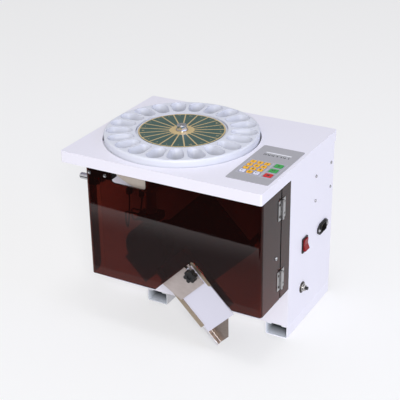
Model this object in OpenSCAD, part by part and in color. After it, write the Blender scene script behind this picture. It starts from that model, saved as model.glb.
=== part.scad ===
/* [Deck] */
// Width of the top deck, left to right
deck_w = 430; // [410:1:470]
// Depth of the top deck, front to back
deck_d = 342; // [336:1:380]
// Height of the deck's top above the floor
deck_h = 370.5; // [360:0.5:400]
// Thickness of the deck's sheet
deck_t = 2; // [1.5:0.1:3]
// Height of the deck's turned-down skirt
skirt_h = 23; // [18:1:26]
// Radius of the deck's upright corners
deck_corner_r = 4; // [2:0.5:6]

/* [Cabinet] */
// Thickness of the cabinet's sheet steel
sheet_t = 1.5; // [1:0.1:2]
// Distance from the deck's front edge to the cabinet's front wall
wall_y = 124; // [118:1:126]
// How far the deck reaches past the cabinet's back
back_lap = 9.5; // [5:0.5:15]

/* [Feet] */
// Width of a foot channel
foot_w = 48; // [40:1:56]
// Height of a foot channel
foot_h = 28; // [22:0.5:32]
// Wall of a foot channel
foot_t = 2.2; // [1.5:0.1:3]
// Width of each lip at the channel's open top
foot_lip = 13; // [10:1:15]
// Outer corner radius of a foot channel
foot_corner_r = 3.5; // [2.5:0.5:5]
// Left face of the left foot from the deck's left edge
left_foot_x = 106; // [95:1:115]
// Distance of the foot bolts from the channel's ends
foot_bolt_inset = 30; // [22:1:60]
// Radius of a foot bolt
foot_bolt_r = 4; // [3:0.5:5]

/* [Turntable] */
// Distance from the deck's front and left edges to the hole for the disc
hole_edge = 14.5; // [12:0.5:18]
// Distance from the deck's back edge to the hole for the disc
hole_back = 13.5; // [12:0.5:18]
// Gap between the hole and the pocket ring
ring_gap = 2.5; // [1.5:0.5:4]
// Height of the ring's top above the deck
ring_rise = 14; // [11:0.5:18]
// Depth of the ring below the deck's top
ring_drop = 12; // [10:0.5:15]
// Rounding of the ring's upper outer edge
ring_fillet = 4; // [2:0.5:6]
// Width of the ring from its outer face to its recess
ring_band = 63; // [60:0.5:66]
// Turn of the disc, as the photo shows it
disc_turn = -5.4; // [-8:0.2:8]
// Number of pockets around the ring
pocket_count = 21; // [14:1:21]
// Radius of a pocket's outer end
pocket_out_r = 17; // [15:0.5:18]
// Radius of a pocket's inner end
pocket_in_r = 13; // [11:0.5:14]
// Distance of a pocket's outer centre from the ring's outer face
pocket_inset = 21.5; // [20:0.5:24]
// Distance between a pocket's outer and inner centres
pocket_span = 23; // [20:0.5:25]
// Height of the pocket's centre line above the ring's top
pocket_lift = 0.5; // [0:0.5:3]
// Thickness of the web inside the ring
web_t = 8; // [6:0.5:10]
// Depth of the web below the ring's top
web_drop = 3; // [2:0.5:5]
// Width of the groove round the web
groove_w = 1.4; // [1:0.1:2]
// Depth of the groove round the web
groove_d = 3; // [2:0.5:4]
// Gap between the recess and the dial plate
dial_gap = 5; // [3:0.5:8]
// Thickness of the dial plate
dial_t = 1.5; // [1:0.1:2.5]
// Radius of the turntable shaft
shaft_r = 8; // [6.5:0.5:10]
// Radius of the threaded stud on top of the shaft
stud_r = 5; // [4:0.5:6]
// Radius of the shaft's flange under the web
flange_r = 30; // [24:1:40]
// Thickness of the shaft's flange
flange_t = 5; // [4:0.5:8]
// Radius of the hub washer
washer_r = 12; // [11.5:0.5:16]
// Thickness of the hub washer
washer_t = 2; // [1.5:0.1:3]
// Width of the hub nut across its flats
nut_af = 19; // [17:0.5:20]
// Height of the hub nut
nut_h = 9.5; // [8:0.5:11]
// How far the stud stands out of the nut
stud_tip = 0.5; // [0.5:0.5:2]

/* [Keypad] */
// Gap between the disc's hole and the keypad panel
pad_gap = 9.5; // [6:0.5:14]
// Gap between the keypad panel and the deck's right edge
pad_edge = 6.5; // [4:0.5:10]
// Front edge of the keypad panel from the deck's front edge
pad_y = 37; // [30:0.5:45]
// Panel width for which the key and window widths below are given
pad_plan_w = 85.5; // [80:0.5:90]
// Depth of the keypad panel
pad_d = 165; // [163:0.5:175]
// Thickness of the keypad panel
pad_t = 1; // [0.8:0.1:1.6]
// Corner radius of the keypad panel
pad_corner_r = 4; // [3:0.5:7]
// Width of the deck's rim under the panel
pad_rim = 6; // [5:0.5:7]
// Width of a number key
key_w = 10.4; // [9.5:0.1:11.5]
// Depth of a number key
key_d = 9.8; // [9:0.1:11]
// Distance between number key columns
key_pitch_x = 14.2; // [14:0.1:14.6]
// Distance between number key rows
key_pitch_y = 15.1; // [15:0.1:15.6]
// Centre of the first key column from the panel's left edge
key_first_x = 16; // [15:0.5:17]
// Centre of the last key row from the panel's front edge
key_first_y = 38.4; // [36:0.2:42]
// Width of a function key
function_w = 16; // [14:0.5:17]
// Depth of a function key
function_d = 14; // [12:0.5:16]
// Centre of the function keys from the panel's left edge
function_x = 68; // [67:0.5:69]
// Distance between function key rows
function_pitch_y = 22.8; // [22:0.2:24]
// How far a key stands above the panel
key_rise = 1; // [0.6:0.1:1.6]
// Travel of a key
key_travel = 0.6; // [0.4:0.1:0.8]
// Left edge of the display window from the panel's left edge
window_x = 18; // [15:0.5:21]
// Back edge of the display window from the panel's back edge
window_back = 28; // [25:0.5:32]
// Width of the display window
window_w = 52.5; // [50:0.5:56]
// Depth of the display window
window_d = 16; // [14:0.5:18]

/* [Door] */
// Thickness of the tinted acrylic
acrylic_t = 3; // [2.5:0.1:4]
// How far the door stands behind the deck's front edge
door_inset = 3.6; // [3:0.1:5]
// Left edge of the door from the deck's left edge
door_x = 53.6; // [50:0.2:58]
// Height of the door's lower edge above the floor
door_z = 115; // [108:0.5:120]
// Gap between the door's upper edge and the skirt
door_gap = 1.5; // [1:0.1:2.5]
// Outer radius of the door's bends
door_bend_r = 6; // [5:0.5:8]
// Depth of the door's left return
left_return = 30; // [24:1:36]
// Rounding of the left return's lower corner
return_r = 12; // [6:1:16]
// Distance from the deck's front edge to the hinge axis
hinge_y = 84; // [80:0.5:88]
// Gap on each side of the hinge line between the door and the fixed strip
split_gap = 2; // [0.8:0.1:2.5]
// Notch's apex to the right of the drum's axis
apex_shift = 113; // [111:0.5:115]
// Height of the notch's apex above the floor
apex_z = 198.5; // [194:0.5:201]
// Rounding of the notch's apex
notch_r = 4.5; // [2:0.5:7]
// Left end of the finger cut-out from the deck's left edge
cutout_x = 111.5; // [108:0.5:114]
// Width of the finger cut-out
cutout_w = 77; // [60:1:90]
// Depth of the finger cut-out below the door's upper edge
cutout_h = 21; // [18:0.5:24]
// Lower corner radius of the finger cut-out
cutout_r = 7; // [4:0.5:10]

/* [Hinges and latch] */
// Width of one hinge leaf
leaf_w = 14.5; // [12:0.5:18]
// Thickness of a hinge leaf
leaf_t = 1.2; // [1:0.1:1.5]
// Height of a hinge
hinge_h = 40; // [36:1:50]
// Height of the lower hinge's foot above the floor
low_hinge_z = 138; // [130:1:145]
// Height of the upper hinge's foot above the floor
high_hinge_z = 286.5; // [270:0.5:290]
// Outer radius of a hinge knuckle
knuckle_r = 2.6; // [2.3:0.1:3]
// Radius of a hinge pin
hinge_pin_r = 1.3; // [1:0.1:1.5]
// Length of the latch bar behind the door
latch_bar_w = 50; // [46:1:58]
// Depth of the latch bar
latch_bar_d = 20.4; // [18:0.2:24]
// Height of the latch bar
latch_bar_h = 17; // [16:0.5:20]
// Radius of the latch plunger's barrel
plunger_r = 6.5; // [5.5:0.1:7]
// How far the plunger stands out to the left of the door
plunger_reach = 21; // [17:0.5:25]
// Drop of the plunger's axis below the latch bar
plunger_drop = 9; // [9:0.5:12]
// Radius of the plunger's nose
nose_r = 3.5; // [3:0.1:4.5]
// Travel of the latch plunger
latch_travel = 6; // [5:0.5:7]
// Thickness of the latch keeper
keeper_t = 2; // [1.5:0.1:2.5]

/* [Chute] */
// Thickness of the chute's stainless sheet
chute_t = 1.5; // [1:0.1:2]
// Distance from the deck's front edge to the chute's front plate
chute_y = 12.5; // [12:0.5:14]
// Depth of the chute's channel
chute_depth = 15.5; // [14:0.2:18]
// Floor of the channel, measured across the slope from the notch's apex
chute_floor = 97; // [92:0.5:100]
// Upper wall of the channel, measured across the slope from the notch's apex
chute_top = 8.5; // [6:0.5:10]
// Head of the channel, measured up the slope from the notch's apex
chute_head = 28; // [24:0.5:28.5]
// Foot of the fixed channel, measured down the slope from the notch's apex
chute_foot = 113; // [105:1:118]
// Foot of the channel's upper lip, measured down the slope from the notch's apex
chute_lip_foot = 58; // [50:1:65]
// Width of the channel's lower lip
low_lip = 9.5; // [8:0.5:11]
// Width of the channel's upper lip
high_lip = 7.5; // [6:0.5:9]
// Rounding of the upper lip's ends
lip_round = 3.6; // [2:0.1:3.8]
// Width of the front plate down the slope
plate_len = 52; // [46:1:56]
// How far the front plate reaches up the slope past the apex
plate_up = 5; // [3:0.5:8]
// Width of the front plate across the slope
plate_w = 78; // [72:1:80]
// How far the front plate's lower edge slants across the slope
plate_slant = 12.8; // [8:0.2:16]
// Length of the white cover
cover_len = 123; // [115:1:126]
// How far down the slope from the apex the white cover starts
cover_start = 5; // [2:0.5:8]
// Foot of the sliding extension, measured down the slope from the apex
extension_foot = 160; // [154:0.5:162]
// Length of the sliding extension
extension_len = 128; // [120:1:130]
// Travel of the sliding extension back into the channel
extension_travel = 40; // [30:1:42]
// Straight end of the extension's back wall above its floor
extension_end = 24; // [18:1:30]
// Inner radius of the extension's bend
extension_bend_r = 3; // [2:0.5:5]
// Height of the extension's lip above its floor
extension_lip = 3.5; // [2:0.5:6]
// Radius of the clamp knob
knob_r = 13; // [11:0.5:14]
// Number of lobes on the clamp knob
knob_lobes = 6; // [5:1:8]
// Depth of the clamp knob
knob_d = 11.2; // [9:0.2:11.6]
// Clamp knob's place down the slope from the apex
knob_u = 20.5; // [19.5:0.5:22]
// Clamp knob's place across the slope from the apex
knob_w = 28; // [25:0.5:32]
// Radius of the clamp knob's stud
knob_stud_r = 3; // [2.5:0.5:4]

/* [Feed] */
// Drum's axis to the right of the disc's axis
drum_shift = 0.5; // [-1:0.5:1]
// Height of the drum axis above the floor
drum_z = 190.5; // [188:0.5:192]
// Radius of the feed drum
drum_r = 44; // [40:0.5:45]
// Length of the feed drum
drum_len = 38; // [34:1:40]
// Number of pockets in the feed drum
drum_pockets = 8; // [6:1:10]
// Radius of a pocket in the feed drum
drum_pocket_r = 9; // [7:0.5:10]
// Radius of the drum's shaft
drum_shaft_r = 5; // [4:0.5:6]
// Distance from the deck's front edge to the drum's front face
drum_y = 20; // [18:0.5:22]
// Thickness of the feed base plate
base_t = 4; // [3:0.5:6]
// Radius of the posts that carry the feed base plate
post_r = 6; // [5:0.5:8]
// Radius of the feed motor
feed_motor_r = 22; // [18:1:26]
// Length of the feed motor
feed_motor_len = 46; // [40:1:52]
// Radius of the funnel's mouth before its sides are cut flat
mouth_r = 76; // [66:1:84]
// Half the depth of the funnel between its flat front and back
mouth_half_d = 38; // [34:0.5:39]
// Half the width of the funnel between its flat ends
mouth_half_w = 52; // [46:0.5:54]
// Radius of the funnel's spout
spout_r = 11; // [9:0.5:13]
// Wall of the funnel
funnel_t = 1.5; // [1:0.1:2]
// Height of the funnel's cone
cone_h = 48; // [40:1:56]
// Distance from the deck's front edge to the funnel's axis
funnel_y = 47; // [46:0.5:48]
// Height of the count sensor
sensor_h = 14; // [10:1:18]
// Radius of a sensor lead
lead_r = 1.5; // [1:0.1:2]

/* [Side fittings] */
// Power inlet's centre from the deck's back edge
inlet_from_back = 59; // [52:1:67]
// Power inlet's centre above the floor
inlet_z = 179.5; // [172:0.5:187]
// Rocker switch's centre from the deck's back edge
rocker_from_back = 147; // [137:1:157]
// Rocker switch's centre above the floor
rocker_z = 180.5; // [172:0.5:188]
// Width of the rocker switch's bezel
bezel_w = 25; // [24:0.5:27]
// Height of the rocker switch's bezel
bezel_h = 32; // [31:0.5:35]
// Angle through which the rocker tips
rocker_angle = 16; // [12:1:20]
// Breaker's centre from the deck's back edge
breaker_from_back = 152; // [142:1:162]
// Breaker's centre above the floor
breaker_z = 85.5; // [78:0.5:94]
// Radius of the breaker's nut
breaker_nut_r = 8.5; // [8:0.5:11]
// Radius of the breaker's reset button
button_r = 3.5; // [3:0.5:4.5]
// How far the reset button stands out of its bush
button_rise = 5; // [4:0.5:7]
// Travel of the reset button
button_travel = 2.5; // [1.5:0.5:3]
// Power supply's lower screw row below the skirt
supply_drop = 93; // [87:1:99]
// Power supply's rear screw column from the deck's back edge
supply_from_back = 24; // [23:0.5:30]
// Distance between the power supply's screws, front to back
supply_pitch_y = 75; // [66:1:76]
// Distance between the power supply's screws, up and down
supply_pitch_z = 53; // [45:1:60]
// Radius of a side screw's head
screw_head_r = 3.6; // [3:0.1:4.5]
// Radius of a side screw's shank
screw_r = 1.7; // [1.4:0.1:2]

/* [Hidden] */
$fn = 96;

// Clearances between pieces that fit or pass each other
run_gap = 0.05;
fit_gap = 0.1;
slide_gap = 0.3;
free_gap = 1;
// Overlap that lets a cut run past a face
past = 1;

// Levels and faces shared by several pieces
skirt_z = deck_h - skirt_h;
deck_under_z = deck_h - deck_t;
rear_y = deck_d - back_lap;
wall_back_y = wall_y + sheet_t;
side_in_x = deck_w - sheet_t;
floor_top_z = foot_h + sheet_t;
right_foot_x = deck_w - foot_w;

// Disc, from the hole that the deck leaves for it
hole_r = (deck_d - hole_edge - hole_back) / 2;
table_x = hole_edge + hole_r;
table_y = hole_edge + hole_r;
ring_r = hole_r - ring_gap;
ring_bore_r = ring_r - ring_band;
pocket_out_at = ring_r - pocket_inset;
pocket_in_at = pocket_out_at - pocket_span;
dial_r = ring_bore_r - dial_gap;
drum_x = table_x + drum_shift;
apex_x = drum_x + apex_shift;

// Keypad, in the room between the disc and the deck's right edge
pad_x = table_x + hole_r + pad_gap;
pad_w = deck_w - pad_edge - pad_x;
pad_scale = pad_w / pad_plan_w;
window_y = pad_d - window_back - window_d;
rim_w = pad_rim * pad_scale;
cap_w = key_w * pad_scale;
wide_cap_w = function_w * pad_scale;
wide_cap_x = pad_x + function_x * pad_scale;
glass_x = pad_x + window_x * pad_scale;
glass_w = window_w * pad_scale;

// Side fittings, from the deck's back edge
inlet_y = deck_d - inlet_from_back;
rocker_y = deck_d - rocker_from_back;
breaker_y = deck_d - breaker_from_back;
supply_y = deck_d - supply_from_back - supply_pitch_y;
supply_z = skirt_z - supply_drop;

// Reach of the breaker's button past the right side, which ends the overall width
breaker_nut_t = 4;
breaker_bush_len = 8;
button_end_x = deck_w + breaker_bush_len + button_rise;
mid_x = button_end_x / 2;
mid_y = deck_d / 2;

// Turntable levels
ring_top_z = deck_h + ring_rise;
ring_low_z = deck_h - ring_drop;
web_top_z = ring_top_z - web_drop;
web_low_z = web_top_z - web_t;
dial_top_z = web_top_z + dial_t;
nut_low_z = dial_top_z + washer_t;
nut_top_z = nut_low_z + nut_h;
shaft_drop = 86;
bearing_drop = 12;
boss_h = 36;
boss_wall = 16;
shaft_foot_z = ring_low_z - shaft_drop;
bearing_top_z = ring_low_z - bearing_drop;
bracket_top_z = bearing_top_z - boss_h;
bracket_t = 8;
bracket_low_z = bracket_top_z - bracket_t;
bracket_half_w = 52;
bracket_reach = 46;
boss_r = shaft_r + boss_wall;
gearbox_w = 80;
gearbox_h = 40;
flange_wall = 6;
gearbox_gap = 1.5;
gearbox_front_y = wall_back_y + flange_wall + gearbox_gap;
motor_r = 38;
motor_gap = 8;
motor_y = wall_back_y + motor_gap + motor_r;
motor_h = 80;

// Keypad levels
pad_top_z = deck_h + pad_t;
key_top_z = pad_top_z + key_rise;
key_flange_gap = 0.15;
key_flange_t = 1.2;
key_flange_lap = 0.6;
key_window_gap = 0.25;
key_corner_r = 1.5;
key_stem_r = 2;
key_stem_len = 3.6;
flange_top_z = deck_h - key_flange_gap;
flange_low_z = flange_top_z - key_flange_t;
stem_low_z = flange_low_z - key_stem_len;
switch_gap = 0.2;
switch_top_z = stem_low_z - key_travel - switch_gap;
switch_h = 3;
switch_w = 6;
board_top_z = switch_top_z - switch_h;
board_t = 1.6;
board_edge = 0.5;
board_post_r = 2.4;
module_side = 3;
module_lap = module_side * pad_scale;
window_gap = 0.2;
number_keys = ["key_1", "key_2", "key_3", "key_4", "key_5", "key_6", "key_7", "key_8", "key_9",
    "key_clear", "key_0", "key_enter"];
function_keys = ["key_start", "key_pause", "key_stop"];
key_orange = [0.94, 0.66, 0.18];
key_white = [0.92, 0.92, 0.95];
key_colours = [for (name = number_keys) name == "key_clear" || name == "key_enter" ? key_white : key_orange];
function_colours = [[0.20, 0.62, 0.33], [0.20, 0.62, 0.33], [0.80, 0.20, 0.20]];

// Door faces
door_top_z = skirt_z - door_gap;
door_h = door_top_z - door_z;
door_front_y = door_inset;
door_in_y = door_inset + acrylic_t;
door_in_x = door_x + acrylic_t;
return_end_y = hinge_y - split_gap;
strip_start_y = hinge_y + split_gap;
knuckle_count = 5;
knuckle_x = deck_w + knuckle_r + slide_gap;
knuckle_h = hinge_h / knuckle_count;

// Latch places, all taken from the door's upper left corner
latch_y = door_in_y + latch_bar_d / 2;
latch_bar_x = door_in_x + door_bend_r - acrylic_t + fit_gap;
latch_end_x = latch_bar_x + latch_bar_w;
latch_bar_z = door_top_z - latch_bar_h - free_gap;
latch_z = latch_bar_z - plunger_drop;
lug_w = 15;
lug_wall = 2.5;
lug_end_x = latch_bar_x + lug_w;
keeper_gap = 3.3;
keeper_x = lug_end_x + keeper_gap;
keeper_w = 7;
keeper_clear = 2;
keeper_front_y = door_in_y + latch_bar_d + keeper_clear;
keeper_back_y = keeper_front_y + keeper_w;
keeper_margin = 3;
keeper_play = 0.8;
keeper_slot = nose_r + keeper_play;
keeper_half = keeper_slot + keeper_margin;
plunger_round = 2.5;

// Chute layers, front to back
slope = 45;
plate_back_y = chute_y + chute_t;
lip_back_y = plate_back_y + chute_t;
extension_lip_y = lip_back_y + slide_gap;
extension_t = 1.2;
cover_t = 1.2;
tray_in_y = lip_back_y + chute_depth;
tray_back_y = tray_in_y + chute_t;
extension_back_y = tray_in_y - slide_gap - extension_t;
tray_floor_w = -chute_floor;
extension_floor_w = tray_floor_w + chute_t + slide_gap;
extension_head = extension_foot - extension_len;
cover_low_gap = 0.5;
cover_high_gap = 2;
cover_low_w = extension_floor_w + extension_t + extension_lip + cover_low_gap;
cover_high_w = -chute_top - chute_t - cover_high_gap;
knob_front_y = chute_y - slide_gap - knob_d;
plate_low_w = tray_floor_w;
stud_play = 2;
plate_slot_w = 2 * knob_stud_r + stud_play;
extension_slot_w = 2 * knob_stud_r + stud_play;
extension_top_w = -chute_top - chute_t - slide_gap;
tray_post_u = -18;
tray_post_r = 5;
tray_post_low = 17;
tray_post_high = 27;
nut_boss_wall = 4;
nut_boss_r = knob_stud_r + nut_boss_wall;
nut_boss_t = 5;

// Feed head
drum_back_y = drum_y + drum_len;
drum_collar = 1.7;
drum_collar_wall = 4;
drum_end_wall = 4;
base_front_y = drum_back_y + drum_collar + slide_gap;
base_back_y = base_front_y + base_t;
head_left_w = 178;
head_right_w = 92;
head_split_w = 42;
head_up_u = 88;
head_left_u = 21;
head_right_u = 58;
head_ear_u = 6;
head_post_inset = 14;
motor_bore_depth = 30;
funnel_drop = 8;
spout_gap = 4;
funnel_top_z = ring_low_z - funnel_drop;
spout_low_z = drum_z + drum_r + spout_gap;
spout_top_z = funnel_top_z - cone_h;
funnel_back_y = funnel_y + mouth_half_d;
arm_half_w = 20;
arm_drop = 16;
arm_z = funnel_top_z - arm_drop;
arm_t = 3;
sensor_half_x = 20;
sensor_half_y = 18;
sensor_rise = 6;
sensor_low_z = spout_low_z + sensor_rise;
lead_spread = 8;
lead_bend_r = 6;
lead_front_side = 54;
lead_back_side = 50;
lead_far_side = 96;
lead_near_side = 66;
lead_wall_gap = 6;
lead_front_x = drum_x - lead_front_side;
lead_back_x = drum_x - lead_back_side;
lead_far_x = drum_x - lead_far_side;
lead_near_x = drum_x - lead_near_side;
lead_wall_y = wall_y - lead_wall_gap;
plug_w = 10;
plug_h = 14;

// Side fittings
inlet_flange_w = 50;
inlet_flange_h = 25;
inlet_flange_t = 3;
inlet_body_w = 27.2;
inlet_body_h = 19.8;
inlet_depth = 20;
inlet_rim = 2;
inlet_wall = 1.8;
socket_depth = 16;
inlet_ear = 20;
ear_tip = 5;
blade_w = 4;
blade_t = 2;
blade_len = 10;
blade_side = 7;
blade_row = 2.5;
bezel_t = 2.4;
bezel_body_d = 20;
bezel_wall = 2.2;
bezel_step = 1.2;
bezel_corner_r = 2;
rocker_gap = 0.35;
rocker_half_h = 12.2;
rocker_pivot_x = 0.6;
rocker_pin_r = 1.5;
rocker_pin_len = 1.2;
rocker_back = 4;
rocker_tip = 6;
rocker_dip = 3.6;
rocker_foot = 3;
rocker_edge = 2;
rocker_lip = 1;
rocker_cavity = 8;
breaker_thread_r = 6;
breaker_body_r = 9;
breaker_body_len = 24;
button_len = 14;
supply_depth = 38;
supply_margin = 10;
screw_head_t = 2.2;
screw_len = 7;
screw_crown = 0.62;
inlet_shoulder = 1;

// The pieces are laid out from the deck's front left corner and then centred over the floor
module place() {
    translate([-mid_x, -mid_y, 0])
        children();
}

// A box between two corners
module block(low, high) {
    translate(low)
        cube(high - low);
}

// A rectangle with round corners, from its front left corner
module round_rect(w, d, r) {
    translate([r, 0])
        square([w - 2 * r, d]);
    translate([0, r])
        square([w, d - 2 * r]);
    for (x = [r, w - r], y = [r, d - r])
        translate([x, y])
            circle(r);
}

// A plate with round upright corners
module round_plate(w, d, h, r) {
    linear_extrude(h)
        round_rect(w, d, r);
}

// A cylinder along Y, from its front end
module rod_y(r, len) {
    rotate([-90, 0, 0])
        cylinder(r = r, h = len);
}

// A cylinder along X, from its left end
module rod_x(r, len) {
    rotate([0, 90, 0])
        cylinder(r = r, h = len);
}

// Frame of the chute: X runs down the slope from the notch's apex and Z across it
module on_slope() {
    translate([apex_x, 0, apex_z])
        rotate([0, slope, 0])
            children();
}

// Frame of a fitting on the right side: X runs to the back, Y up and Z outwards
module on_side(y, z) {
    translate([deck_w, y, z])
        rotate([90, 0, 90])
            children();
}

// White sheet-steel deck, a shallow tray turned upside down
module deck() {
    color([0.93, 0.93, 0.96])
    place()
    difference() {
        translate([0, 0, skirt_z])
            round_plate(deck_w, deck_d, skirt_h, deck_corner_r);
        block([deck_t, deck_t, skirt_z - past], [deck_w - deck_t, deck_d - deck_t, deck_under_z]);
        translate([table_x, table_y, deck_under_z - past])
            cylinder(r = hole_r, h = deck_t + 2 * past, $fn = 180);
        block([pad_x + rim_w, pad_y + pad_rim, deck_under_z - past],
              [pad_x + pad_w - rim_w, pad_y + pad_d - pad_rim, deck_h + past]);
    }
}

// Cabinet's two sides and base, one sheet bent to a U
module body_shell() {
    color([0.91, 0.91, 0.96])
    place()
    difference() {
        union() {
            block([0, wall_y, foot_h], [deck_w, rear_y, floor_top_z]);
            block([0, wall_y, foot_h], [sheet_t, rear_y, skirt_z]);
            block([side_in_x, wall_y, foot_h], [deck_w, rear_y, skirt_z]);
        }
        on_side(inlet_y, inlet_z)
            translate([-inlet_body_w / 2 - fit_gap, -inlet_body_h / 2 - fit_gap, -sheet_t - past])
                cube([inlet_body_w + 2 * fit_gap, inlet_body_h + 2 * fit_gap, sheet_t + 2 * past]);
        on_side(rocker_y, rocker_z)
            translate([-bezel_w / 2 + bezel_step - fit_gap, -bezel_h / 2 + bezel_step - fit_gap,
                       -sheet_t - past])
                cube([bezel_w - 2 * bezel_step + 2 * fit_gap, bezel_h - 2 * bezel_step + 2 * fit_gap,
                      sheet_t + 2 * past]);
        on_side(breaker_y, breaker_z)
            translate([0, 0, -sheet_t - past])
                cylinder(r = breaker_thread_r + run_gap, h = sheet_t + 2 * past);
        side_screw_places()
            translate([0, 0, -sheet_t - past])
                cylinder(r = screw_r + run_gap, h = sheet_t + 2 * past);
        foot_bolt_places()
            translate([0, 0, foot_h - past])
                cylinder(r = foot_bolt_r + run_gap, h = sheet_t + 2 * past);
    }
}

// Cabinet's front wall behind the door
module front_wall() {
    color([0.92, 0.92, 0.96])
    place()
        block([sheet_t, wall_y, floor_top_z], [side_in_x, wall_back_y, skirt_z]);
}

// Cabinet's plain back cover
module rear_cover() {
    color([0.91, 0.91, 0.95])
    place()
        block([sheet_t, rear_y - sheet_t, floor_top_z], [side_in_x, rear_y, skirt_z]);
}

// A lipped channel that lies along the cabinet's depth, open side up
module foot_channel(x) {
    color([0.88, 0.88, 0.92])
    place()
    translate([x, rear_y, 0])
    rotate([90, 0, 0])
    linear_extrude(rear_y - wall_y)
    difference() {
        round_rect(foot_w, foot_h, foot_corner_r);
        translate([foot_t, foot_t])
            round_rect(foot_w - 2 * foot_t, foot_h - 2 * foot_t, foot_corner_r - foot_t);
        translate([foot_lip, foot_h / 2])
            square([foot_w - 2 * foot_lip, foot_h]);
    }
}

module foot_left() {
    foot_channel(left_foot_x);
}

module foot_right() {
    foot_channel(right_foot_x);
}

// Places of the four foot bolts, on the channels' centre lines
module foot_bolt_places() {
    for (x = [left_foot_x, right_foot_x], y = [wall_y + foot_bolt_inset, rear_y - foot_bolt_inset])
        translate([x + foot_w / 2, y, 0])
            children();
}

// Bolts through the base into nut plates that grip the channels' lips
module foot_bolts() {
    nut_plate_t = 5;
    nut_plate_side = 5;
    head_t = 5;
    head_side = 3;
    grip_lap = 6;
    color("silver")
    place()
    foot_bolt_places() {
        translate([0, 0, floor_top_z])
            cylinder(r = foot_bolt_r + head_side, h = head_t, $fn = 6);
        translate([0, 0, foot_h - foot_t - nut_plate_t])
            cylinder(r = foot_bolt_r, h = floor_top_z - foot_h + foot_t + nut_plate_t + past);
        nut_half = foot_w / 2 - foot_lip + grip_lap;
        block([-nut_half, -foot_bolt_r - nut_plate_side, foot_h - foot_t - nut_plate_t],
              [nut_half, foot_bolt_r + nut_plate_side, foot_h - foot_t]);
    }
}

// Places of the power supply's four screws, and of the inlet's two on its ears
module supply_screw_places() {
    for (y = [supply_y, supply_y + supply_pitch_y], z = [supply_z, supply_z + supply_pitch_z])
        on_side(y, z)
            children();
}

module inlet_screw_places() {
    for (ear = [-inlet_ear, inlet_ear])
        on_side(inlet_y + ear, inlet_z)
            children();
}

module side_screw_places() {
    supply_screw_places()
        children();
    inlet_screw_places()
        children();
}

// A round-headed screw whose head sits at Z 0
module round_screw() {
    translate([0, 0, -screw_len])
        cylinder(r = screw_r, h = screw_len + past / 2);
    cylinder(r1 = screw_head_r, r2 = screw_head_r * screw_crown, h = screw_head_t);
}

module side_screws() {
    color("gainsboro")
    place() {
        supply_screw_places()
            round_screw();
        inlet_screw_places()
            translate([0, 0, inlet_flange_t])
                round_screw();
    }
}

// Places of the keys: four rows of three number keys, and a column of three function keys
function number_key_x(i) = pad_x + (key_first_x + (i % 3) * key_pitch_x) * pad_scale;
function number_key_y(i) = pad_y + key_first_y + (3 - floor(i / 3)) * key_pitch_y;
function function_key_y(i) = pad_y + key_first_y + (2 - i) * function_pitch_y;

// Outline of a key, centred, grown by a margin
module key_outline(w, d, grow) {
    translate([-w / 2 - grow, -d / 2 - grow])
        round_rect(w + 2 * grow, d + 2 * grow, key_corner_r);
}

// Grey keypad panel with a window for each key and for the display
module keypad_panel() {
    color([0.68, 0.68, 0.71])
    place()
    difference() {
        translate([pad_x, pad_y, deck_h])
            round_plate(pad_w, pad_d, pad_t, pad_corner_r);
        translate([glass_x, pad_y + window_y, deck_h - past])
            cube([glass_w, window_d, pad_t + 2 * past]);
        for (i = [0 : len(number_keys) - 1])
            translate([number_key_x(i), number_key_y(i), deck_h - past])
                linear_extrude(pad_t + 2 * past)
                    key_outline(cap_w, key_d, key_window_gap);
        for (i = [0 : len(function_keys) - 1])
            translate([wide_cap_x, function_key_y(i), deck_h - past])
                linear_extrude(pad_t + 2 * past)
                    key_outline(wide_cap_w, function_d, key_window_gap);
    }
}

// A key: cap through the panel, flange that the panel holds down, stem over its switch
module key_body(x, y, w, d) {
    place()
    translate([x, y, 0]) {
        translate([0, 0, flange_low_z])
            linear_extrude(key_top_z - flange_low_z)
                key_outline(w, d, 0);
        translate([0, 0, flange_low_z])
            linear_extrude(key_flange_t)
                key_outline(w, d, key_flange_lap);
        translate([0, 0, stem_low_z])
            cylinder(r = key_stem_r, h = key_stem_len + key_flange_t);
    }
}

module number_key(i) {
    color(key_colours[i])
        key_body(number_key_x(i), number_key_y(i), cap_w, key_d);
}

module function_key(i) {
    color(function_colours[i])
        key_body(wide_cap_x, function_key_y(i), wide_cap_w, function_d);
}

// Display under the panel's window, standing on the keypad board
module display_module() {
    color([0.35, 0.42, 0.40])
    place() {
        block([glass_x - module_lap, pad_y + window_y - module_side, board_top_z],
              [glass_x + glass_w + module_lap, pad_y + window_y + window_d + module_side,
               deck_h - window_gap]);
        block([glass_x + window_gap, pad_y + window_y + window_gap, board_top_z],
              [glass_x + glass_w - window_gap, pad_y + window_y + window_d - window_gap,
               deck_h + pad_t - window_gap]);
    }
}

// Keypad board with a switch under each key, hung from the deck on four posts
module keypad_board() {
    color("darkgreen")
    place() {
        block([pad_x + board_edge, pad_y + board_edge, board_top_z - board_t],
              [pad_x + pad_w - board_edge, pad_y + pad_d - board_edge, board_top_z]);
        for (x = [pad_x + rim_w / 2, pad_x + pad_w - rim_w / 2],
             y = [pad_y + pad_rim / 2, pad_y + pad_d - pad_rim / 2])
            translate([x, y, board_top_z - board_t / 2])
                cylinder(r = board_post_r, h = deck_under_z - board_top_z + board_t / 2);
        for (i = [0 : len(number_keys) - 1])
            translate([number_key_x(i), number_key_y(i), board_top_z])
                key_switch();
        for (i = [0 : len(function_keys) - 1])
            translate([wide_cap_x, function_key_y(i), board_top_z])
                key_switch();
    }
}

module key_switch() {
    translate([-switch_w / 2, -switch_w / 2, -board_t / 2])
        cube([switch_w, switch_w, switch_h + board_t / 2]);
}

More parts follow.
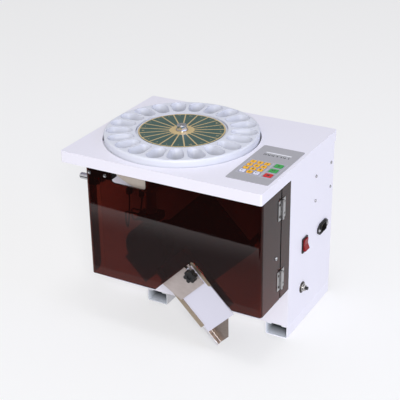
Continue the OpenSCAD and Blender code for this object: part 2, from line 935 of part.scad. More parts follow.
// Outline of the inlet's flange, a rectangle drawn out to two ears
module inlet_flange_outline() {
    half_body = inlet_body_w / 2 + inlet_shoulder;
    polygon([
        [-inlet_flange_w / 2, -ear_tip], [-half_body, -inlet_flange_h / 2],
        [half_body, -inlet_flange_h / 2], [inlet_flange_w / 2, -ear_tip],
        [inlet_flange_w / 2, ear_tip], [half_body, inlet_flange_h / 2],
        [-half_body, inlet_flange_h / 2], [-inlet_flange_w / 2, ear_tip]
    ]);
}

// Appliance inlet: flange with two ears, body behind the panel, open socket
module power_inlet() {
    face = inlet_flange_t + inlet_rim;
    color([0.08, 0.08, 0.09])
    place()
    on_side(inlet_y, inlet_z)
    difference() {
        union() {
            linear_extrude(inlet_flange_t)
                inlet_flange_outline();
            translate([-inlet_body_w / 2, -inlet_body_h / 2, -inlet_depth])
                cube([inlet_body_w, inlet_body_h, inlet_depth + face]);
        }
        translate([-inlet_body_w / 2 + inlet_wall, -inlet_body_h / 2 + inlet_wall, face - socket_depth])
            cube([inlet_body_w - 2 * inlet_wall, inlet_body_h - 2 * inlet_wall, socket_depth + past]);
        for (ear = [-inlet_ear, inlet_ear])
            translate([ear, 0, -past])
                cylinder(r = screw_r + run_gap, h = inlet_flange_t + 2 * past);
    }
}

// Three flat pins standing on the socket's floor
module inlet_pins() {
    low = inlet_flange_t + inlet_rim - socket_depth;
    color("goldenrod")
    place()
    on_side(inlet_y, inlet_z)
    for (spot = [[0, blade_row], [-blade_side, -blade_row], [blade_side, -blade_row]])
        translate([spot[0] - blade_t / 2, spot[1] - blade_w / 2, low])
            cube([blade_t, blade_w, blade_len]);
}

// Black bezel of the power switch with the body that carries the rocker
module switch_bezel() {
    body_w = bezel_w - 2 * bezel_step;
    body_h = bezel_h - 2 * bezel_step;
    color([0.07, 0.07, 0.08])
    place()
    on_side(rocker_y, rocker_z)
    difference() {
        union() {
            translate([-bezel_w / 2, -bezel_h / 2, 0])
                round_plate(bezel_w, bezel_h, bezel_t, bezel_corner_r);
            translate([-body_w / 2, -body_h / 2, -bezel_body_d])
                cube([body_w, body_h, bezel_body_d + bezel_t / 2]);
        }
        translate([-body_w / 2 + bezel_wall, -body_h / 2 + bezel_wall - bezel_step, -rocker_cavity])
            cube([body_w - 2 * bezel_wall, body_h - 2 * bezel_wall + 2 * bezel_step,
                  rocker_cavity + bezel_t + past]);
        translate([-body_w / 2 + bezel_wall - rocker_pin_len - slide_gap, 0, rocker_pivot_x])
            rod_x(rocker_pin_r + run_gap, body_w - 2 * bezel_wall + 2 * rocker_pin_len + 2 * slide_gap);
    }
}

// Red rocker, dished across its face, tipped to its lower stop
module power_rocker() {
    half_w = bezel_w / 2 - bezel_step - bezel_wall - rocker_gap;
    color([0.80, 0.08, 0.08])
    place()
    on_side(rocker_y, rocker_z)
    translate([0, 0, rocker_pivot_x])
    rotate([-rocker_angle / 2, 0, 0]) {
        translate([-half_w, 0, 0])
            rotate([90, 0, 90])
                linear_extrude(2 * half_w)
                    polygon([
                        [-rocker_half_h + rocker_foot, -rocker_back],
                        [rocker_half_h - rocker_foot, -rocker_back],
                        [rocker_half_h, rocker_tip - rocker_edge], [rocker_half_h - rocker_lip, rocker_tip],
                        [0, rocker_dip],
                        [-rocker_half_h + rocker_lip, rocker_tip], [-rocker_half_h, rocker_tip - rocker_edge]
                    ]);
        translate([-half_w - rocker_pin_len, 0, 0])
            rod_x(rocker_pin_r, 2 * (half_w + rocker_pin_len));
    }
}

// Breaker body with its threaded bush and nut
module breaker_bush() {
    color([0.78, 0.78, 0.78])
    place()
    on_side(breaker_y, breaker_z)
    difference() {
        union() {
            cylinder(r = breaker_nut_r, h = breaker_nut_t);
            translate([0, 0, -sheet_t - past])
                cylinder(r = breaker_thread_r, h = sheet_t + past + breaker_bush_len);
            translate([0, 0, -sheet_t - breaker_body_len])
                cylinder(r = breaker_body_r, h = breaker_body_len);
        }
        translate([0, 0, breaker_bush_len + button_rise - button_len - button_travel - slide_gap])
            cylinder(r = button_r + run_gap, h = button_len + button_travel + past);
    }
}

// Black reset button of the breaker
module breaker_button() {
    color([0.08, 0.08, 0.08])
    place()
    on_side(breaker_y, breaker_z)
        translate([0, 0, breaker_bush_len + button_rise - button_len])
            cylinder(r = button_r, h = button_len);
}

// Power supply on the inside of the right wall, drilled for its four screws
module power_supply() {
    color([0.70, 0.72, 0.72])
    place()
    difference() {
        block([side_in_x - supply_depth, supply_y - supply_margin, supply_z - supply_margin],
              [side_in_x, supply_y + supply_pitch_y + supply_margin,
               supply_z + supply_pitch_z + supply_margin]);
        supply_screw_places()
            translate([0, 0, -screw_len - past])
                cylinder(r = screw_r + run_gap, h = screw_len + past);
    }
}

// Bracket on the front wall's back that carries the turntable's bearing boss
module bearing_bracket() {
    flange_h = 48;
    color([0.45, 0.46, 0.48])
    place()
    difference() {
        union() {
            block([table_x - bracket_half_w, wall_back_y, bracket_low_z],
                  [table_x + bracket_half_w, table_y + bracket_reach, bracket_top_z]);
            block([table_x - bracket_half_w, wall_back_y, bracket_top_z - flange_h],
                  [table_x + bracket_half_w, wall_back_y + flange_wall, bracket_top_z]);
            translate([table_x, table_y, bracket_low_z])
                cylinder(r = boss_r, h = bearing_top_z - bracket_low_z);
        }
        translate([table_x, table_y, bracket_low_z - past])
            cylinder(r = shaft_r + run_gap, h = bearing_top_z - bracket_low_z + 2 * past);
    }
}

// Gear motor under the bracket, with the bore that takes the turntable's shaft
module turntable_motor() {
    gearbox_low_z = bracket_low_z - gearbox_h;
    color([0.25, 0.25, 0.27])
    place()
    difference() {
        union() {
            block([table_x - gearbox_w / 2, gearbox_front_y, gearbox_low_z],
                  [table_x + gearbox_w / 2, motor_y + gearbox_w / 2, bracket_low_z]);
            translate([table_x, motor_y, gearbox_low_z - motor_h])
                cylinder(r = motor_r, h = motor_h + past);
        }
        translate([table_x, table_y, shaft_foot_z - slide_gap])
            cylinder(r = shaft_r + run_gap, h = gearbox_h + past);
    }
}

// Pocket hollow: two balls joined by the cone that touches both, laid inwards along a radius
module pocket_hollow() {
    span = pocket_out_at - pocket_in_at;
    lean = asin((pocket_out_r - pocket_in_r) / span);
    translate([pocket_out_at, 0, 0])
        rotate([0, -90, 0]) {
            sphere(pocket_out_r);
            translate([0, 0, span])
                sphere(pocket_in_r);
            translate([0, 0, pocket_out_r * sin(lean)])
                cylinder(r1 = pocket_out_r * cos(lean), r2 = pocket_in_r * cos(lean),
                         h = span + (pocket_in_r - pocket_out_r) * sin(lean));
        }
}

// White turntable: a ring of scooped pockets round a recessed web
module pocket_ring() {
    ring_h = ring_rise + ring_drop;
    color([0.93, 0.93, 0.95])
    place()
    translate([table_x, table_y, 0])
    difference() {
        translate([0, 0, ring_low_z])
            rotate_extrude($fn = 180) {
                translate([ring_bore_r, 0])
                    square([ring_r - ring_bore_r - ring_fillet, ring_h]);
                translate([ring_bore_r, 0])
                    square([ring_r - ring_bore_r, ring_h - ring_fillet]);
                translate([ring_r - ring_fillet, ring_h - ring_fillet])
                    circle(ring_fillet);
                translate([stud_r + run_gap, web_low_z - ring_low_z])
                    square([ring_bore_r - groove_w - stud_r - run_gap, web_t]);
                translate([stud_r + run_gap, web_low_z - ring_low_z])
                    square([ring_bore_r - stud_r, web_t - groove_d]);
            }
        for (i = [0 : pocket_count - 1])
            rotate([0, 0, (i + 0.5) * 360 / pocket_count + disc_turn])
                translate([0, 0, ring_top_z + pocket_lift])
                    pocket_hollow();
    }
}

// Flat round plate on the turntable's axis with a hole for the stud
module hub_disc(r, low_z, h) {
    place()
    translate([table_x, table_y, low_z])
    difference() {
        cylinder(r = r, h = h);
        translate([0, 0, -past])
            cylinder(r = stud_r + run_gap, h = h + 2 * past);
    }
}

module dial_plate() {
    color([0.24, 0.37, 0.33])
        hub_disc(dial_r, web_top_z, dial_t);
}

module hub_washer() {
    color("silver")
        hub_disc(washer_r, dial_top_z, washer_t);
}

// Hexagon nut with chamfered corners
module hub_nut() {
    corner_r = nut_af / sqrt(3);
    chamfer = 2;
    color("gainsboro")
    place()
    translate([table_x, table_y, nut_low_z])
    difference() {
        intersection() {
            cylinder(r = corner_r, h = nut_h, $fn = 6);
            union() {
                cylinder(r = corner_r + past, h = nut_h - chamfer);
                translate([0, 0, nut_h - chamfer])
                    cylinder(r1 = corner_r, r2 = corner_r - chamfer, h = chamfer);
            }
        }
        translate([0, 0, -past])
            cylinder(r = stud_r + run_gap, h = nut_h + 2 * past);
    }
}

// Turntable's shaft with the flange that carries the web and the stud for the nut
module turntable_shaft() {
    color("lightgrey")
    place()
    translate([table_x, table_y, 0]) {
        translate([0, 0, shaft_foot_z])
            cylinder(r = shaft_r, h = web_low_z - shaft_foot_z);
        translate([0, 0, web_low_z - flange_t])
            cylinder(r = flange_r, h = flange_t);
        translate([0, 0, web_low_z - past])
            cylinder(r = stud_r, h = nut_top_z + stud_tip - web_low_z + past);
    }
}

// Plan of the door: a sheet bent back at both ends
module door_plan() {
    difference() {
        translate([door_x, door_front_y])
            round_rect(deck_w - door_x, return_end_y - door_front_y + 2 * door_bend_r, door_bend_r);
        translate([door_in_x, door_in_y])
            round_rect(deck_w - door_x - 2 * acrylic_t, return_end_y - door_front_y + 2 * door_bend_r,
                       door_bend_r - acrylic_t);
        translate([door_x - past, return_end_y])
            square([deck_w - door_x + 2 * past, 3 * door_bend_r]);
        translate([door_x - past, door_front_y + left_return])
            square([deck_w / 2 - door_x, deck_d]);
    }
}

// Inverted V with a rounded apex, as far below the apex as given
module notch_outline(foot) {
    side = notch_r / sqrt(2);
    polygon([
        [apex_x - side, apex_z - side], [apex_x - foot, apex_z - foot],
        [apex_x + foot, apex_z - foot], [apex_x + side, apex_z - side]
    ]);
    translate([apex_x, apex_z - 2 * side])
        circle(notch_r);
}

// Tinted acrylic door with its notch over the chute and its finger cut-out
module door() {
    foot = apex_z - door_z + past;
    left_end_y = door_front_y + left_return;
    color([0.32, 0.15, 0.10, 0.75])
    place()
    difference() {
        translate([0, 0, door_z])
            linear_extrude(door_h)
                door_plan();
        translate([0, door_front_y - past, 0])
            rotate([90, 0, 0])
                mirror([0, 0, 1])
                    linear_extrude(acrylic_t + 2 * past)
                        notch_outline(foot);
        translate([cutout_x, door_front_y - past, door_top_z - cutout_h])
            rotate([90, 0, 0])
                mirror([0, 0, 1])
                    round_plate(cutout_w, cutout_h + 2 * cutout_r, acrylic_t + 2 * past, cutout_r);
        translate([door_x - past, left_end_y - return_r, door_z - past])
            difference() {
                cube([acrylic_t + 2 * past, return_r + past, return_r + past]);
                translate([-past, 0, return_r + past])
                    rod_x(return_r, acrylic_t + 4 * past);
            }
        translate([door_x - past, latch_y, latch_z])
            rod_x(plunger_r + slide_gap, acrylic_t + 2 * past);
    }
}

// Fixed strip of the same acrylic between the hinges and the cabinet
module acrylic_strip() {
    color([0.32, 0.15, 0.10, 0.75])
    place()
        block([deck_w - acrylic_t, strip_start_y, door_z], [deck_w, wall_y, door_top_z]);
}

// One hinge leaf with its share of the knuckles; side 1 reaches back and side -1 forward
module hinge_leaf(side, first) {
    root = knuckle_r + slide_gap;
    difference() {
        union() {
            translate([deck_w, side > 0 ? hinge_y + root : hinge_y - leaf_w, 0])
                cube([leaf_t, leaf_w - root, hinge_h]);
            for (i = [first : 2 : knuckle_count - 1])
                translate([0, 0, i * knuckle_h + run_gap]) {
                    translate([knuckle_x, hinge_y, 0])
                        cylinder(r = knuckle_r, h = knuckle_h - 2 * run_gap);
                    translate([deck_w + slide_gap, side > 0 ? hinge_y : hinge_y - root - past, 0])
                        cube([leaf_t - slide_gap, root + past, knuckle_h - 2 * run_gap]);
                }
        }
        translate([knuckle_x, hinge_y, -past])
            cylinder(r = hinge_pin_r + run_gap, h = hinge_h + 2 * past);
    }
}

module hinge_leaves_fixed() {
    color([0.75, 0.75, 0.76])
    place()
    for (z = [low_hinge_z, high_hinge_z])
        translate([0, 0, z])
            hinge_leaf(1, 0);
}

module hinge_leaves_door() {
    color([0.75, 0.75, 0.76])
    place()
    for (z = [low_hinge_z, high_hinge_z])
        translate([0, 0, z])
            hinge_leaf(-1, 1);
}

module hinge_pins() {
    color("silver")
    place()
    for (z = [low_hinge_z, high_hinge_z])
        translate([knuckle_x, hinge_y, z])
            cylinder(r = hinge_pin_r, h = hinge_h);
}

// Black bar behind the door with a lug below it that guides the latch plunger
module latch_bar() {
    lug_half = plunger_r + lug_wall;
    color([0.08, 0.08, 0.09])
    place()
    difference() {
        union() {
            block([latch_bar_x, door_in_y, latch_bar_z],
                  [latch_end_x, door_in_y + latch_bar_d, latch_bar_z + latch_bar_h]);
            block([latch_bar_x, door_in_y, latch_z - lug_half],
                  [lug_end_x, door_in_y + latch_bar_d, latch_bar_z + latch_bar_h]);
        }
        translate([latch_bar_x - past, latch_y, latch_z])
            rod_x(plunger_r + run_gap, lug_w + 2 * past);
    }
}

// Chrome plunger with a round-edged end and a thinner nose, shown drawn back
module latch_pin() {
    start_x = door_x - plunger_reach;
    shoulder = lug_end_x - latch_travel - start_x;
    color("gainsboro")
    place()
    translate([start_x, latch_y, latch_z])
        rotate([0, 90, 0])
            rotate_extrude() {
                square([plunger_r - plunger_round, shoulder]);
                translate([0, plunger_round])
                    square([plunger_r, shoulder - plunger_round]);
                intersection() {
                    translate([plunger_r - plunger_round, plunger_round])
                        circle(plunger_round);
                    square([plunger_r, plunger_r]);
                }
                square([nose_r, shoulder + latch_travel]);
            }
}

// Keeper that hangs from the deck behind the bar, with a forked foot for the plunger's nose
module latch_keeper() {
    color([0.80, 0.80, 0.82])
    place()
    difference() {
        union() {
            block([keeper_x, latch_y - keeper_half, latch_z - keeper_half],
                  [keeper_x + keeper_t, keeper_back_y, latch_z + keeper_half]);
            block([keeper_x, keeper_front_y, latch_z - keeper_half],
                  [keeper_x + keeper_t, keeper_back_y, deck_under_z]);
        }
        block([keeper_x - past, latch_y - keeper_slot, latch_z - keeper_half - past],
              [keeper_x + keeper_t + past, latch_y + keeper_slot, latch_z + keeper_slot]);
    }
}

// Outline of the feed base in the slope's frame: two rectangles and an ear for the chute
module feed_base_outline() {
    polygon([
        [-head_up_u, -head_left_w], [-head_left_u, -head_left_w],
        [-head_left_u, tray_floor_w], [-head_ear_u, tray_floor_w],
        [-head_ear_u, -head_split_w], [head_right_u, -head_split_w],
        [head_right_u, head_right_w], [-head_up_u, head_right_w]
    ]);
}

// Places of the posts between the feed base and the front wall
module feed_post_places() {
    for (spot = [
        [-head_up_u + head_post_inset, -head_left_w + head_post_inset],
        [-head_left_u - head_post_inset, -head_left_w + head_post_inset],
        [-head_up_u + head_post_inset, head_right_w - head_post_inset],
        [head_right_u - head_post_inset, head_right_w - head_post_inset]
    ])
        translate([spot[0], base_back_y, spot[1]])
            children();
}

// Black base plate of the feed head, turned with the slope and carried on posts
module feed_base() {
    color([0.12, 0.12, 0.13])
    place()
    difference() {
        on_slope() {
            translate([0, base_front_y, 0])
                rotate([90, 0, 0])
                    mirror([0, 0, 1])
                        linear_extrude(base_t)
                            feed_base_outline();
            feed_post_places()
                rod_y(post_r, wall_y - base_back_y);
        }
        translate([drum_x, base_front_y - past, drum_z])
            rod_y(drum_shaft_r + free_gap, base_t + 2 * past);
    }
}

// Motor behind the feed base, bored for the drum's shaft
module feed_motor() {
    color([0.20, 0.20, 0.22])
    place()
    difference() {
        translate([drum_x, base_back_y, drum_z])
            rod_y(feed_motor_r, feed_motor_len);
        translate([drum_x, base_back_y - past, drum_z])
            rod_y(drum_shaft_r + run_gap, motor_bore_depth + past);
    }
}

// Feed drum with half-round pockets in its rim, on its own shaft
module feed_drum() {
    shaft_len = base_back_y + motor_bore_depth - slide_gap - drum_back_y;
    color([0.16, 0.16, 0.17])
    place()
    translate([drum_x, drum_y, drum_z]) {
        difference() {
            rod_y(drum_r, drum_len);
            for (i = [0 : drum_pockets - 1])
                rotate([0, i * 360 / drum_pockets, 0])
                    translate([0, drum_end_wall, drum_r])
                        rod_y(drum_pocket_r, drum_len - 2 * drum_end_wall);
        }
        translate([0, drum_len, 0])
            rod_y(drum_shaft_r + drum_collar_wall, drum_collar);
        translate([0, drum_len - past, 0])
            rod_y(drum_shaft_r, shaft_len + past);
    }
}

// Profile of the funnel turned about its axis, drawn in by a wall
module funnel_profile(wall, over) {
    polygon([
        [0, spout_low_z - over], [spout_r - wall, spout_low_z - over], [spout_r - wall, spout_top_z],
        [mouth_r - wall, funnel_top_z], [mouth_r - wall, funnel_top_z + over], [0, funnel_top_z + over]
    ]);
}

// The funnel's form with its four sides cut flat
module funnel_form(wall, over) {
    half_d = mouth_half_d - wall;
    half_w = mouth_half_w - wall;
    intersection() {
        translate([drum_x, funnel_y, 0])
            rotate_extrude()
                funnel_profile(wall, over);
        block([drum_x - half_w, funnel_y - half_d, spout_low_z - over],
              [drum_x + half_w, funnel_y + half_d, funnel_top_z + over]);
    }
}

// Stainless funnel under the turntable, with the arm that holds it on the front wall
module drop_funnel() {
    tab_h = 30;
    color([0.70, 0.67, 0.64])
    place()
    difference() {
        union() {
            funnel_form(0, 0);
            block([drum_x - arm_half_w, funnel_back_y - funnel_t, arm_z],
                  [drum_x + arm_half_w, wall_y, arm_z + arm_t]);
            block([drum_x - arm_half_w, wall_y - arm_t, arm_z - tab_h],
                  [drum_x + arm_half_w, wall_y, arm_z + arm_t]);
        }
        funnel_form(funnel_t, past);
    }
}

// Count sensor clamped round the funnel's spout
module count_sensor() {
    color([0.10, 0.10, 0.11])
    place()
    difference() {
        block([drum_x - sensor_half_x, funnel_y - sensor_half_y, sensor_low_z],
              [drum_x + sensor_half_x, funnel_y + sensor_half_y, sensor_low_z + sensor_h]);
        translate([drum_x, funnel_y, sensor_low_z - past])
            cylinder(r = spout_r + run_gap, h = sensor_h + 2 * past);
    }
}

// A ring of lead, turned through an angle
module lead_ring(r, angle) {
    rotate_extrude(angle = angle)
        translate([r, 0])
            circle(lead_r, $fn = 24);
}

// A lead that leaves the sensor's left side, bends down and hangs in a half ring to a plug on the wall
module hanging_lead(y, drop_x, plug_x) {
    exit_x = drum_x - sensor_half_x;
    exit_z = sensor_low_z + sensor_h / 2;
    reach = [plug_x - drop_x, lead_wall_y - y];
    span = norm(reach);
    translate([drop_x + lead_bend_r, y, exit_z])
        rod_x(lead_r, exit_x - drop_x - lead_bend_r);
    translate([drop_x + lead_bend_r, y, exit_z - lead_bend_r])
        rotate([90, 0, 0])
            rotate([0, 0, 90])
                lead_ring(lead_bend_r, 90);
    translate([drop_x, y, exit_z - lead_bend_r])
        rotate([0, 0, atan2(reach[1], reach[0])])
            translate([span / 2, 0, 0])
                rotate([-90, 0, 0])
                    lead_ring(span / 2, 180);
    block([plug_x - plug_w / 2, lead_wall_y - plug_w / 2, exit_z - lead_bend_r],
          [plug_x + plug_w / 2, wall_y, exit_z - lead_bend_r + plug_h]);
}

module sensor_leads() {
    color([0.10, 0.10, 0.11])
    place() {
        hanging_lead(funnel_y - lead_spread, lead_front_x, lead_far_x);
        hanging_lead(funnel_y + lead_spread, lead_back_x, lead_near_x);
    }
}

// A plate in the slope's frame, given by its ends down the slope, its depth and its place across it
module slope_block(u, y, w) {
    block([u[0], y[0], w[0]], [u[1], y[1], w[1]]);
}

// An outline drawn down and across the slope, given a depth
module slope_plate(y, t) {
    translate([0, y, 0])
        rotate([90, 0, 0])
            mirror([0, 0, 1])
                linear_extrude(t)
                    children();
}

// Fixed chute: back wall, floor and upper wall with turned-in lips, head flared back to the feed base
module chute_tray() {
    color([0.68, 0.64, 0.60])
    place()
    on_slope()
    difference() {
        union() {
            slope_block([-chute_head, chute_foot], [tray_in_y, tray_back_y], [tray_floor_w, -chute_top]);
            slope_block([-chute_head, chute_foot], [plate_back_y, tray_back_y],
                        [tray_floor_w, tray_floor_w + chute_t]);
            slope_block([-chute_head, chute_foot], [plate_back_y, lip_back_y],
                        [tray_floor_w, tray_floor_w + low_lip]);
            slope_block([-chute_head, chute_lip_foot], [plate_back_y, tray_back_y],
                        [-chute_top - chute_t, -chute_top]);
            slope_plate(plate_back_y, chute_t)
                translate([0, -chute_top - high_lip])
                    round_rect(chute_lip_foot, high_lip, lip_round);
            for (w = [tray_floor_w + tray_post_low, -chute_top - tray_post_high])
                translate([tray_post_u, tray_back_y - chute_t / 2, w])
                    rod_y(tray_post_r, base_front_y - tray_back_y + chute_t / 2);
            translate([knob_u, tray_back_y - chute_t / 2, -knob_w])
                rod_y(nut_boss_r, nut_boss_t + chute_t / 2);
        }
        translate([knob_u, tray_in_y - past, -knob_w])
            rod_y(knob_stud_r + run_gap, chute_t + nut_boss_t + 2 * past);
    }
}

// Stainless front plate over the chute's head, slotted for the knob's stud
module chute_front_plate() {
    color([0.72, 0.68, 0.65])
    place()
    on_slope()
    difference() {
        slope_plate(chute_y, chute_t)
            polygon([
                [-plate_up, plate_low_w - plate_slant / 2],
                [plate_len - plate_up, plate_low_w + plate_slant / 2],
                [plate_len - plate_up, plate_low_w + plate_w],
                [-plate_up, plate_low_w + plate_w]
            ]);
        translate([knob_u, chute_y - past, -knob_w])
            rod_y(plate_slot_w / 2, chute_t + 2 * past);
        slope_block([-plate_up - past, knob_u], [chute_y - past, plate_back_y + past],
                    [-knob_w - plate_slot_w / 2, -knob_w + plate_slot_w / 2]);
    }
}

// White flat cover that closes the chute's front between its lips
module chute_cover() {
    color([0.90, 0.90, 0.94])
    place()
    on_slope()
    difference() {
        slope_block([cover_start, cover_start + cover_len], [lip_back_y, lip_back_y + cover_t],
                    [cover_low_w, cover_high_w]);
        translate([knob_u, lip_back_y - past, -knob_w])
            rod_y(knob_stud_r + slide_gap, cover_t + 2 * past);
    }
}

// Back wall of the extension, cut upright at its free end
module extension_wall() {
    high = extension_top_w - extension_floor_w;
    slope_plate(extension_back_y, extension_t)
        translate([0, extension_floor_w])
            polygon([
                [extension_head, 0], [extension_foot, 0], [extension_foot, extension_end],
                [extension_foot - high + extension_end, high], [extension_head, high]
            ]);
}

// Rounded inside of the extension's bend between its floor and its back wall
module extension_bend() {
    low_w = extension_floor_w + extension_t - run_gap;
    front_y = extension_back_y - extension_bend_r;
    difference() {
        slope_block([extension_head, extension_foot], [front_y, extension_back_y + run_gap],
                    [low_w, low_w + run_gap + extension_bend_r]);
        translate([extension_head - past, front_y, low_w + run_gap + extension_bend_r])
            rod_x(extension_bend_r, extension_len + 2 * past);
    }
}

// Sliding end of the chute: floor, lip and back wall that nest in the fixed channel
module chute_extension() {
    color([0.66, 0.62, 0.57])
    place()
    on_slope()
    difference() {
        union() {
            extension_wall();
            extension_bend();
            slope_block([extension_head, extension_foot], [extension_lip_y, extension_back_y + extension_t],
                        [extension_floor_w, extension_floor_w + extension_t]);
            slope_block([extension_head, extension_foot], [extension_lip_y, extension_lip_y + extension_t],
                        [extension_floor_w, extension_floor_w + extension_t + extension_lip]);
        }
        slope_block([extension_head - past, knob_u + extension_travel + knob_stud_r + stud_play],
                    [extension_back_y - past, extension_back_y + extension_t + past],
                    [-knob_w - extension_slot_w / 2, -knob_w + extension_slot_w / 2]);
    }
}

// Black lobed clamp knob moulded on its stud
module clamp_knob() {
    lobe_r = 4.2;
    core_lap = 0.6;
    core_r = knob_r - lobe_r + core_lap;
    dish_r = 5;
    dish_d = 2;
    stud_len = tray_back_y + nut_boss_t - chute_y;
    color([0.07, 0.07, 0.08])
    place()
    on_slope()
    translate([knob_u, knob_front_y, -knob_w]) {
        difference() {
            union() {
                rod_y(core_r, knob_d);
                for (i = [0 : knob_lobes - 1])
                    rotate([0, i * 360 / knob_lobes, 0])
                        translate([knob_r - lobe_r, 0, 0])
                            rod_y(lobe_r, knob_d);
            }
            translate([0, -past, 0])
                rod_y(dish_r, dish_d + past);
        }
        translate([0, knob_d - past, 0])
            rod_y(knob_stud_r, stud_len + past);
    }
}

deck();
body_shell();
front_wall();
rear_cover();
foot_left();
foot_right();
foot_bolts();
side_screws();
keypad_panel();
display_module();
keypad_board();
power_inlet();
inlet_pins();
switch_bezel();
breaker_bush();
power_supply();
bearing_bracket();
turntable_motor();
acrylic_strip();
hinge_leaves_fixed();
hinge_pins();
latch_keeper();
feed_base();
feed_motor();
drop_funnel();
count_sensor();
sensor_leads();
chute_tray();
chute_front_plate();
chute_cover();
pocket_ring();
dial_plate();
hub_washer();
hub_nut();
turntable_shaft();
door();
latch_bar();
hinge_leaves_door();
latch_pin();
chute_extension();
clamp_knob();
power_rocker();
breaker_button();
feed_drum();
number_key(0);  // key_1
number_key(1);  // key_2
number_key(2);  // key_3
number_key(3);  // key_4
number_key(4);  // key_5
number_key(5);  // key_6
number_key(6);  // key_7
number_key(7);  // key_8
number_key(8);  // key_9
number_key(9);  // key_clear
number_key(10);  // key_0
number_key(11);  // key_enter
function_key(0);  // key_start
function_key(1);  // key_pause
function_key(2);  // key_stop
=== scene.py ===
import math

import bmesh
import bpy
from mathutils import Matrix, Vector


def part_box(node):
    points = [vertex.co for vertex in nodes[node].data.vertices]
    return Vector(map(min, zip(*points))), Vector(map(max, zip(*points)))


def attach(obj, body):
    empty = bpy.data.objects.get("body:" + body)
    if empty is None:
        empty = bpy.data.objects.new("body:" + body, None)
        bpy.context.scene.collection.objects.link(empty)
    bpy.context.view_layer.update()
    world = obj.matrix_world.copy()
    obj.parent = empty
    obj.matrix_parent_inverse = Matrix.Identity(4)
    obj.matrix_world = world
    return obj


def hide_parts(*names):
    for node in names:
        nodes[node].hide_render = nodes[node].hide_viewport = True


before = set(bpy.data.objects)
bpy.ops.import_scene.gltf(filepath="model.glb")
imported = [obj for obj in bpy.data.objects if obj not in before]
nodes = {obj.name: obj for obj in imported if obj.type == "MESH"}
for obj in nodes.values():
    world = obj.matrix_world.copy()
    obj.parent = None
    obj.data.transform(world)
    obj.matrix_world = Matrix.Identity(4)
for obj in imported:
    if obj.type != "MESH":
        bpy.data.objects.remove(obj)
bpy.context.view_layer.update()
scene = bpy.context.scene
scene.view_settings.view_transform = "Standard"
mm = 0.001  # pieces are given in mm, the stage in metres
print("frame loaded:", len(nodes), "nodes")


def boxOf(name):
    low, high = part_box(name)
    return Vector(low), Vector(high)


# colours are picked as screen values, shaders want them linear
def tone(red, green, blue):
    def straight(value):
        share = value / 255
        return share / 12.92 if share <= 0.04045 else ((share + 0.055) / 1.055) ** 2.4
    return (straight(red), straight(green), straight(blue), 1.0)


# a socket is linked, anything else becomes the input's own value
def feed(tree, value, socket):
    if isinstance(value, bpy.types.NodeSocket):
        tree.links.new(value, socket)
    else:
        socket.default_value = value


def mathOf(tree, operation, *values):
    node = tree.nodes.new("ShaderNodeMath")
    node.operation = operation
    for value, socket in zip(values, node.inputs):
        feed(tree, value, socket)
    return node.outputs["Value"]


def noiseOf(tree, vector, scale, detail):
    noise = tree.nodes.new("ShaderNodeTexNoise")
    feed(tree, vector, noise.inputs["Vector"])
    feed(tree, scale, noise.inputs["Scale"])
    feed(tree, detail, noise.inputs["Detail"])
    return noise.outputs["Fac"]


def blendOf(tree, factor, first, second, kind="RGBA"):
    mix = tree.nodes.new("ShaderNodeMix")
    mix.data_type = kind
    feed(tree, factor, mix.inputs["Factor"])
    feed(tree, first, mix.inputs["A"])
    feed(tree, second, mix.inputs["B"])
    return mix.outputs["Result"]


def rangeOf(tree, value, start, stop, low=0.0, high=1.0):
    spread = tree.nodes.new("ShaderNodeMapRange")
    parts = {"Value": value, "From Min": start, "From Max": stop, "To Min": low, "To Max": high}
    for label, part in parts.items():
        feed(tree, part, spread.inputs[label])
    return spread.outputs["Result"]


def axesOf(tree, vector):
    split = tree.nodes.new("ShaderNodeSeparateXYZ")
    tree.links.new(vector, split.inputs["Vector"])
    return split.outputs


def newGroup(name, inputs):
    tree = bpy.data.node_groups.new(name, "ShaderNodeTree")
    outputs = {"Colour": "Color", "Roughness": "Float", "Normal": "Vector"}
    for direction, sockets in (("INPUT", inputs), ("OUTPUT", outputs)):
        for label, kind in sockets.items():
            tree.interface.new_socket(name=label, in_out=direction, socket_type="NodeSocket" + kind)
    place = tree.nodes.new("ShaderNodeTexCoord").outputs["Object"]
    return tree, tree.nodes.new("NodeGroupInput").outputs, place


noiseSpread = (0.3, 0.7)  # where most of a noise lies


# both groups end alike: colour and roughness follow one noise, the bump another
def closeGroup(tree, given, share, second, height, strength):
    out = tree.nodes.new("NodeGroupOutput").inputs
    bump = tree.nodes.new("ShaderNodeBump")
    feed(tree, strength, bump.inputs["Strength"])
    feed(tree, given["Depth"], bump.inputs["Distance"])
    feed(tree, height, bump.inputs["Height"])
    tree.links.new(blendOf(tree, share, given["Colour"], given[second]), out["Colour"])
    tree.links.new(rangeOf(tree, share, *noiseSpread, given["Smooth"], given["Dull"]), out["Roughness"])
    tree.links.new(bump.outputs["Normal"], out["Normal"])
    return tree


coatGrain = {"cloudDetail": 3.0, "grainDetail": 2.0, "bump": 0.5}


def buildCoatGroup():
    tree, given, place = newGroup("coatGrain", {
        "Colour": "Color", "Shade": "Color", "Cloud": "Float", "Grain": "Float", "Depth": "Float",
        "Smooth": "Float", "Dull": "Float",
    })
    cloud = noiseOf(tree, place, given["Cloud"], coatGrain["cloudDetail"])
    grain = noiseOf(tree, place, given["Grain"], coatGrain["grainDetail"])
    return closeGroup(tree, given, cloud, "Shade", grain, coatGrain["bump"])


brushedGrain = {"streakDetail": 4.0, "mottleDetail": 2.0, "streakShare": 0.5, "mottleShare": 0.5, "bump": 0.4}


